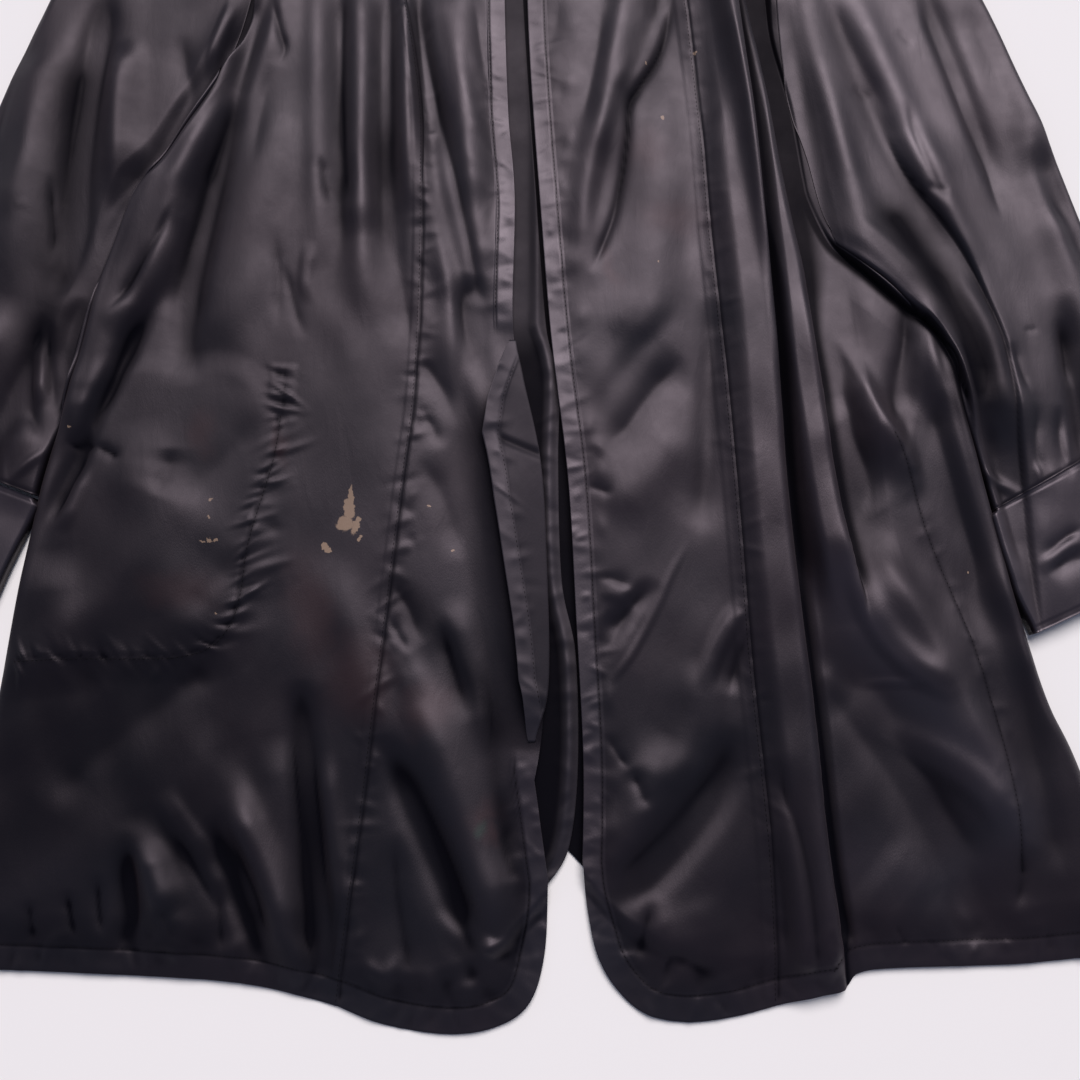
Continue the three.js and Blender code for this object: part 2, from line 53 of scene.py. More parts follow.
Height = Callable[[Array, Array], Array]

MM = 0.001
PLACE = (14.5, 2.55)

# The frame's wall, the gap between layers, the heights of their middles above the floor, the satin's own
# thickness, and how far its surface lies above the middle of a wall
WALL = 1.5
LAYER_GAP = 0.35
FLOOR_LAYER = WALL / 2
SECOND_LAYER = FLOOR_LAYER + WALL + LAYER_GAP
SATIN_THICKNESS = 0.55
SURFACE = 0.5

# How high loose cloth lies, over what length a fold fades out, and how widely rolled edges are rounded
LOFT = 5.0
FOLD_FADE = 75.0
EDGE_ROUNDING = 9.0
SLEEVE_ROUNDING = 7.0
SLEEVE_INNER_ROUNDING = 3.0

# Sewn bands, and how far inside a band's inner edge its stitched groove runs
EDGE_BAND = 12.0
HEM_BAND = 17.0
GROOVE_IN = 1.8

# The vent's top and lap, and the back's seam
VENT_TOP = 37.0
VENT_LAP = 36.0
VENT_RISE = 16.0
BACK_SEAM_TUCK = 4.0

# The rise over a pocket bag and over the lapped middle, and the line along which the shoulders turn down
BAG_RISE = 1.35
CENTRE_RISE = (12.0, 46.0, 4.3)
SHOULDER_TOP = 417.0
SHOULDER_SLOPE = 0.18
SHOULDER_MIDDLE = -20.0
SHOULDER_NECK = 58.0

# How the cloth comes down to a free edge and to the floor past the back's hem
EDGE_REACH = 36.0
EDGE_LOFT = 0.1
EDGE_FOLDS = 0.5
HEM_DROP = (2.0, 14.0)

# Painted light: painted highlight on the bands and ridges with painted shade in the bands' grooves, how far
# below its surroundings a place lies for full painted shade near and far, and painted shade to the left and
# hem
BAND_PAINTED_LIGHT = 0.8
HOLLOW_NEAR = 1.1
HOLLOW_WIDE = 4.0
RIDGE_HIGHLIGHT = 0.3
SHADE_LEFT = 0.4
SHADE_HEM = 0.22

# What the creases' table is multiplied by
CREASE_WIDTH = 1.25
CREASE_HEIGHT = 0.8


def smooth(t: Array | float) -> Array:
    """Gives the smooth step 3t² - 2t³ of t held between 0 and 1."""
    t = np.clip(t, 0.0, 1.0)
    return t * t * (3.0 - 2.0 * t)


def blend(a: Array | float, b: Array | float, t: Array | float) -> Array:
    """Gives a at t = 0 and b at t = 1, in a straight line."""
    return a + (b - a) * t


def quarter_round(t: Array) -> Array:
    """Gives a quarter circle that starts upright at t = 0 and is level from t = 1."""
    return np.sqrt(1.0 - (1.0 - np.clip(t, 0.0, 1.0)) ** 2)


def read_table(text: str) -> list[dict[str, float | str]]:
    """Reads a table whose first line names its columns.

    Args:
        text: Lines of cells parted by spaces. A column named what holds words, and all others hold numbers.

    Returns:
        One dictionary for each line after the first.
    """
    names, *lines = [line.split() for line in text.strip().splitlines()]
    return [
        {name: cell if name == "what" else float(cell) for name, cell in zip(names, cells)}
        for cells in lines
    ]


def lines_of(text: str) -> list[str]:
    """Gives the rows of a table, where a line that starts with a number goes on from the row above it."""
    rows: list[str] = []
    for line in text.strip().splitlines():
        if line.split()[0][0].isalpha():
            rows.append(line)
        else:
            rows[-1] += f" {line.strip()}"
    return rows


def pairs(cells: list[str]) -> Array:
    """Reads cells such as 12,-40 into an array of points."""
    return np.array([[float(part) for part in cell.split(",")] for cell in cells])


class Curve:
    """A smooth line on the floor plane, measured along its length.

    Between two points of its table it is the cubic whose slope at each point is half the step between that
    point's neighbours, and at its two ends the end point is its own neighbour.
    """

    STEPS = 48

    def __init__(self, knots: Array) -> None:
        """Runs the cubic through the knots."""
        self.knots = knots
        before = np.vstack([knots[:1], knots[:-2]])
        after = np.vstack([knots[2:], knots[-1:]])
        t = (np.arange(self.STEPS) / self.STEPS)[None, :, None]
        a, b = knots[:-1, None], knots[1:, None]
        slope_a = 0.5 * (b - before[:, None])
        slope_b = 0.5 * (after[:, None] - a)
        dense = (
            (2 * a - 2 * b + slope_a + slope_b) * t**3
            + (-3 * a + 3 * b - 2 * slope_a - slope_b) * t**2
            + slope_a * t
            + a
        )
        self.dense = np.vstack([dense.reshape(-1, 2), knots[-1:]])
        self._measure()

    def _measure(self) -> None:
        """Sums the length along the dense points."""
        steps = np.linalg.norm(np.diff(self.dense, axis=0), axis=1)
        self.run = np.concatenate([[0.0], np.cumsum(steps)])
        self.length = float(self.run[-1])

    @classmethod
    def through(cls, text: str) -> "Curve":
        """Makes the curve of a table with columns x and y."""
        return cls(np.array([[row["x"], row["y"]] for row in read_table(text)]))

    @classmethod
    def of(cls, dense: Array) -> "Curve":
        """Makes a curve of points that are already close together."""
        whole = object.__new__(cls)
        whole.knots = whole.dense = dense
        whole._measure()
        return whole

    def at(self, share: Array) -> Array:
        """Gives the points at shares of the length from 0 to 1."""
        where = np.asarray(share) * self.length
        return np.stack([np.interp(where, self.run, self.dense[:, i]) for i in (0, 1)], axis=-1)

    def then(self, other: "Curve") -> "Curve":
        """Gives this curve and another one end to end, as one smooth curve."""
        return Curve(np.vstack([self.knots, other.knots[1:]]))

    def stretch(self, start: float, end: float, count: int = 240) -> "Curve":
        """Gives the stretch between two shares of the length, run the way that start and end say."""
        return Curve.of(self.at(np.linspace(start, end, count)))

    def x_at(self, y: Array) -> Array:
        """Gives x where a curve that climbs from the hem stands at heights y."""
        return np.interp(y, self.dense[:, 1], self.dense[:, 0])

    def beside(self, distance: Array | float) -> "Curve":
        """Gives the curve that runs at a distance to the left of this one."""
        ahead = np.gradient(self.dense, axis=0)
        length = np.maximum(np.linalg.norm(ahead, axis=1), 1e-9)[:, None]
        left = np.stack([-ahead[:, 1], ahead[:, 0]], axis=-1) / length
        return Curve.of(self.dense + left * np.broadcast_to(distance, self.run.shape)[:, None])

    @classmethod
    def chain(cls, *parts: "Curve") -> "Curve":
        """Gives curves that meet end to end as one, with their corners kept."""
        dense = np.vstack([part.dense for part in parts])
        keep = np.linalg.norm(np.diff(dense, axis=0), axis=1) > 1e-6
        return cls.of(dense[np.concatenate([[True], keep])])

    def near(self, x: Array, y: Array, reach: float) -> tuple[Array, Array]:
        """Finds how points lie beside the curve.

        Args:
            x: Their places across.
            y: Their places along.
            reach: The distance past which they don't matter, in millimetres.

        Returns:
            The signed distance from the curve, positive on its left and at most the reach, and the length
            along the curve of the nearest place on it.
        """
        count = max(int(self.length / 1.5), 8)
        nodes = self.at(np.linspace(0, 1, count))
        runs = np.linspace(0, self.length, count)
        tangent = np.gradient(nodes, axis=0)
        tangent /= np.linalg.norm(tangent, axis=1)[:, None]
        flat_x, flat_y = x.ravel(), y.ravel()
        best = np.full(flat_x.shape, reach)
        away = np.full(flat_x.shape, reach)
        along = np.zeros(flat_x.shape)
        for first in range(0, count - 1, 40):
            part = slice(first, min(first + 41, count))
            low, high = nodes[part].min(axis=0) - reach, nodes[part].max(axis=0) + reach
            held = (flat_x > low[0]) & (flat_x < high[0]) & (flat_y > low[1]) & (flat_y < high[1])
            inside = np.nonzero(held)[0]
            if inside.size == 0:
                continue
            gap_x = flat_x[inside, None] - nodes[None, part, 0]
            gap_y = flat_y[inside, None] - nodes[None, part, 1]
            square = gap_x**2 + gap_y**2
            nearest = np.argmin(square, axis=1)
            rows = np.arange(inside.size)
            distance = np.sqrt(square[rows, nearest])
            better = distance < best[inside]
            rows, nearest, inside, distance = rows[better], nearest[better], inside[better], distance[better]
            dx, dy = gap_x[rows, nearest], gap_y[rows, nearest]
            node = nearest + first
            tx, ty = tangent[node, 0], tangent[node, 1]
            ahead = dx * tx + dy * ty
            beside = tx * dy - ty * dx
            beyond = ((node == 0) & (ahead < 0)) | ((node == count - 1) & (ahead > 0))
            signed = np.where(beyond, distance * np.sign(beside + 1e-9), beside)
            best[inside] = distance
            away[inside] = np.clip(signed, -reach, reach)
            along[inside] = runs[node] + np.where(beyond, 0.0, ahead)
        return away.reshape(x.shape), along.reshape(x.shape)


# Left front, from the side of the body to the front edge
LEFT_SIDE = Curve.through("""
  x     y
  -370  -384
  -352  -213
  -346  -150
  -337  -83
  -327  -30
  -318  20
  -306  82
  -289  134""")
LEFT_ARMHOLE = Curve.through("""
  x     y
  -289  134
  -269  160
  -231  229
  -213  288
  -206  340
  -215  393""")
LEFT_PRINCESS = Curve.through("""
  x     y
  -125  -407
  -110  -270
  -92   -85
  -84   0
  -82   130
  -86   220
  -105  320
  -135  407""")
LEFT_EDGE = Curve.through("""
  x    y
  5    -332
  -1   -290
  -5   -250
  4    -210
  3    -128
  -1   -60
  -13  0
  -19  40
  -18  131
  -23  200
  -26  290
  -25  330""")
LEFT_SIDE_HEM = Curve.through("""
  x     y
  -370  -384
  -286  -387
  -187  -393
  -125  -407""")
LEFT_FRONT_HEM = Curve.through("""
  x     y
  -125  -407
  -94   -418
  -55   -423
  -25   -418
  -6    -404
  3     -375
  5     -332""")
LEFT_SHOULDER = Curve.through("""
  x     y
  -215  393
  -175  400
  -135  407""")
LEFT_NECK = Curve.through("""
  x    y
  -135 407
  -80  417
  -66  382
  -48  350
  -25  330""")

# Right front, from the front edge to the side of the body
RIGHT_SIDE = Curve.through("""
  x    y
  380  -374
  346  -262
  329  -219
  314  -156
  308  -124
  298  -70
  290  -22
  284  16""")
RIGHT_ARMHOLE = Curve.through("""
  x    y
  284  16
  250  60
  207  104
  190  165
  178  215
  172  288
  166  340
  175  393""")
RIGHT_PRINCESS = Curve.through("""
  x    y
  148  -406
  146  -313
  138  -200
  132  -82
  127  10
  120  100
  114  200
  104  310
  90   406""")
RIGHT_EDGE = Curve.through("""
  x   y
  27  -321
  28  -257
  24  -167
  19  -72
  8   27
  0   132
  -6  220
  -9  291
  -8  330""")
RIGHT_SIDE_HEM = Curve.through("""
  x    y
  148  -406
  172  -400
  190  -396
  199  -387
  224  -384
  293  -382
  337  -378
  380  -374""")
RIGHT_FRONT_HEM = Curve.through("""
  x    y
  27   -321
  30   -350
  36   -377
  48   -397
  65   -411
  90   -416
  120  -413
  148  -406""")
RIGHT_SHOULDER = Curve.through("""
  x    y
  90   406
  132  400
  175  393""")
RIGHT_NECK = Curve.through("""
  x   y
  -8  330
  12  350
  28  382
  40  417
  90  406""")

# Back, seen on its inside through the open front
LEFT_VENT = Curve.through("""
  x    y
  4    -335
  18   -312
  24   -262
  23   -190
  14   -140
  12   -60
  13   0
  4    37""")
BACK_SEAM = Curve.through("""
  x    y
  4    37
  -4   150
  -12  280
  -18  398""")
LEFT_BACK_HEM = Curve.through("""
  x     y
  -367  -379
  -230  -383
  -90   -384
  -35   -370
  4     -335""")
LEFT_BACK_NECK = Curve.through("""
  x    y
  -213 391
  -80  415
  -60  403
  -18  398""")
RIGHT_VENT = Curve.through("""
  x   y
  27  -323
  6   -296
  -4  -240
  -6  -120
  0   0
  4   37""")
RIGHT_BACK_HEM = Curve.through("""
  x    y
  27   -323
  60   -355
  110  -372
  230  -378
  376  -370""")
RIGHT_BACK_NECK = Curve.through("""
  x   y
  -18 398
  22  403
  42  415
  173 391""")

# Sleeves: the fold along the shoulder and the outside, and the two folds of each cuff
LEFT_SLEEVE_OUTSIDE = Curve.through("""
  x     y
  -215  393
  -260  384
  -312  358
  -345  322
  -366  276
  -392  198
  -430  70
  -456  -40""")
RIGHT_SLEEVE_OUTSIDE = Curve.through("""
  x    y
  175  393
  222  384
  275  356
  308  322
  330  280
  356  200
  392  80
  426  -26""")
LEFT_CUFF_INSIDE = Curve.through("""
  x     y
  -338  -86
  -358  -136
  -373  -182""")
LEFT_CUFF_OUTSIDE = Curve.through("""
  x     y
  -456  -40
  -470  -84
  -485  -128""")
RIGHT_CUFF_INSIDE = Curve.through("""
  x    y
  303  -94
  309  -124
  322  -177""")
RIGHT_CUFF_OUTSIDE = Curve.through("""
  x    y
  426  -26
  440  -70
  456  -116""")

# Sewn lines: the left pocket bag's outline and the tacked square above it, and the right side seam
POCKET_LINE = Curve.through("""
  x     y
  -176  -26
  -177  -42
  -180  -62
  -185  -82
  -190  -102
  -194  -122
  -196  -142
  -198  -158
  -204  -174
  -216  -186
  -236  -192
  -262  -193
  -300  -193
  -344  -195""")
POCKET_TACK = Curve.through("""
  x     y
  -174  8
  -174  -12
  -175  -30""")
SIDE_SEAM_RIGHT = Curve.through("""
  x    y
  236  -40
  244  -56
  251  -80
  257  -106
  264  -128
  272  -150
  282  -182
  292  -226
  300  -280
  304  -330""")

TACK = (-186.0, -165.0, -19.0, 9.0)
BACK_HEM = Curve.chain(LEFT_BACK_HEM, RIGHT_BACK_HEM)
LEFT_BODY_SIDE = LEFT_SIDE.then(LEFT_ARMHOLE)
RIGHT_BODY_SIDE = RIGHT_SIDE.then(RIGHT_ARMHOLE)
LEFT_UNDERARM, LEFT_UNDERARM_Y, LEFT_CUFF_SEAM = 0.8, 229.0, 0.375
RIGHT_UNDERARM, RIGHT_UNDERARM_Y, RIGHT_CUFF_SEAM = 0.64, 104.0, 0.357

# The stretch of the left front's edge that is turned back, none on the right, and how much of the rounded
# corner's length counts as front edge
TURNED = (-262.0, 44.0)
NOT_TURNED = (900.0, 901.0)
ROUND_CORNER = 40.0

# How far the turned-back part of the left front edge reaches over the front, along its fold
TURN_REACH = """
  y     reach
  26    3
  4     15
  -17   26
  -42   35
  -87   32
  -128  27
  -167  22
  -207  18
  -225  12
  -246  3"""

# Pocket bags between the back and the side fronts: rectangles with rounded corners
BAGS = """
  what              x     y     half_width  half_length  corner
  pocket_bag_left   -250  -95   66          103          38
  pocket_bag_right  232   -112  46          90           30"""

# The largest folds, placed as the frame has them and somewhat softer. A fold runs from (x0, y0) to (x1, y1),
# bowed sideways, its half width going from w0 to w1. With a negative lean, its right side is the steeper one
# where it runs towards the hem.
FOLDS = """
  what                     x0    y0    x1    y1    bow   w0  w1  height  lean
  pleat_right_hollow       176   340   214   -90   4     13  16  -9      0
  right_diagonal           196   -90   308   -345  14    19  24  11      -0.2
  right_diagonal_hollow    186   -160  290   -400  6     14  18  -7      0
  right_side_roll          262   70    334   -260  -6    12  13  8       0.2
  right_side_hollow        248   20    302   -200  -4    16  20  -7      0
  right_pocket_mouth       192   70    262   -86   -8    15  15  9       -0.3
  right_lower_side         322   -200  352   -400  0     14  18  5       0
  right_hem_flute          262   -330  286   -420  0     10  12  -4      0
  right_breast_ridge       78    340   44    150   -6    15  16  8       0.2
  right_breast_trough      114   340   30    46    -16   7   8   -2.5    0
  right_upper_trough       112   340   122   160   2     9   9   -4      0
  right_band_ridge         50    215   28    60    -4    12  12  5       0
  right_chest_ridge        96    240   74    -10   -4    20  22  6       0
  right_pull_upper         98    52    24    -48   -4    7   9   -1      0
  right_waist_ridge        100   -30   34    -96   6     19   20  2.5     0
  right_seam_trough        120   60    106   -120  0     7   7   -2      0
  right_pull_lower         78    -140  32    -202  -4    6   8   -3      0
  right_hem_trough         128   -250  34    -356  10    10  12  -7      0
  right_hem_ridge          84    -240  38    -330  4     14  14  4       0
  right_corner_ridge       60    -350  106   -392  2     10  12  1.5     0
  left_breast_trough       -92   350   -28   -30   -14   7   8   -5      0
  left_breast_ridge        -60   340   -38   40    -2    15  13  6       0
  left_seam_ridge          -82   210   -54   -50   6     11  12  6       0
  left_seam_upper          -98   345   -94   100   0     9   9   6       0
  left_first_trough        -112  345   -104  40    0     8   12  -4      0
  left_first_ridge         -134  345   -122  20    0     10  11  4       0
  left_second_trough       -150  345   -136  60    0     8   8   -3      0
  left_second_ridge        -166  345   -154  70    0     9   9   3       0
  left_long_trough         -188  330   -248  -10   -10   8   10  -7      0
  left_chest_ridge         -180  230   -218  -10   -4    20  24  5.5     0
  left_armhole_trough      -218  270   -310  36    -12   7   7   -2.5    0
  left_armhole_ridge       -206  310   -296  88    -2    11  12  4       0
  left_underarm_ridge      -224  220   -274  40    -8    11  12  6       0
  left_side_crease         -262  72    -338  -126  0     6   7   -5      0
  left_pocket_swell        -276  -30   -238  -200  0     30  40  4       0
  left_low_side_swell      -330  -120  -318  -220  0     20  24  4       0
  left_panel_ridge         -140  -120  -84   -300  0     13   15  3       0
  left_hem_trough_first    -158  -200  -132  -440  0     8   9   -7      0
  left_hem_ridge_first     -204  -250  -138  -420  0     12  12  7       0
  left_hem_ridge_second    -258  -290  -214  -400  0     11  12  6       0
  left_hem_trough_second   -262  -300  -254  -420  0     6   7   -5      0
  left_hem_trough_third    -212  -290  -166  -400  0     7   7   -5      0
  left_front_trough        -112  -230  -34   -396  6     8   10  -7      0
  left_front_ridge         -92   -190  -22   -400  8     15  16  7       0
  left_edge_hollow         -30   -180  -6    -372  0     9   9   -6      0
  left_sleeve_trough       -314  330   -326  50    -8    9   10  -8      0
  left_sleeve_ridge        -300  260   -298  120   -4    10  9   4.5     0
  left_sleeve_outer_ridge  -346  290   -376  40    0     16  18  7       0
  left_sleeve_low_trough   -342  30    -392  -110  0     10  12  -6      0
  left_sleeve_low_ridge    -368  60    -424  -100  0     12  14  7       0
  right_sleeve_ridge       180   330   236   96    -6    9   9   2       0
  right_sleeve_trough      200   320   322   22    -10   8   9   -2.5    0
  right_sleeve_long_ridge  212   330   334   -96   10    13  13  6       0
  right_sleeve_crease      272   330   330   120   2     7   8   -5      0
  right_sleeve_outer_ridge 336   250   388   -60   4     15  16  7       0
  right_sleeve_low_trough  350   190   384   60    0     8   9   -5      0
  right_sleeve_cuff_fold   360   60    368   -80   0     7   8   -5      0"""

# Deep pleats and turned-over folds, along their knife edges: the height, the widths of the roll that climbs
# from the edge, of the top and of the slope behind, the depth and width of the valley past the edge, and its
# side. Side 1 drops to the left of a line that runs towards the neck.
PLEATS = """
  pleat_right_first   13   8   13  14  6   10  -1
    192,-470 191,-400 186,-350 181,-300 178,-240 174,-190 170,-140 166,-80 164,-25 162,25 159,75 155,125
    151,185 146,235 142,280 136,350
  pleat_right_second  14   8   9   9   9   32  -1
    214,-170 208,-136 202,-104 197,-60 193,-15 188,25 184,70 177,110 170,155 165,195 158,240 151,280 143,345
  sleeve_right_lip    8    3   18  20  2   20  1
    294,-60 290,-34 286,-10 279,16 266,38 243,59 222,80 204,99 191,130 187,150 181,198 174,230 168,259
    166,290 164,345
  left_armhole_lip    6    3   12  18  6   18  1
    -330,-60 -319,20 -304,78 -287,134 -267,162 -247,198 -229,232 -212,272 -204,340
  sleeve_right_fold   4.5  14  6   24  1   12  1
    330,-200 327,-168 325,-120 324,-70 321,-20 317,22 308,54 296,86 278,120 258,156 244,190"""

# Soft streaks of painted shade in the cloth's wide valleys and of painted highlight on its broad slopes,
# each
# along a curve: the width, and how dark the painted shade is, with a minus for a painted highlight.
STREAKS = """
  sleeve_right_valley   17   1.0    250,112 262,88 282,52 294,16 297,-11
  sleeve_right_rub      26   -0.6   225,320 235,282 268,188
  sleeve_left_valley    16   0.45   -334,221 -336,158 -339,96 -338,53 -344,21
  left_armhole_rub      13   -0.3   -287,116 -256,157 -231,198
  left_front_slant      11   0.4    -92,-147 -71,-171 -45,-206 -28,-238
  left_hem_rub          28   -0.26  -345,-345 -300,-331 -262,-340
  left_chest_dark       55   0.22   -130,190 -130,60 -128,-60
  right_chest_dark      34   0.2    66,330 70,240 74,140
  right_low_dark        15   0.35   205,-60 213,-87 224,-128
  left_band_dark        11   0.3    -32,340 -30,260 -28,170
  right_band_dark       11   0.3    -2,340 0,260 6,170
  right_diagonal_rub    18   -1.1   200,-140 208,-161 224,-189 240,-214 275,-255 299,-295
  right_hem_rub         20   -0.5   204,-320 244,-333 272,-321"""
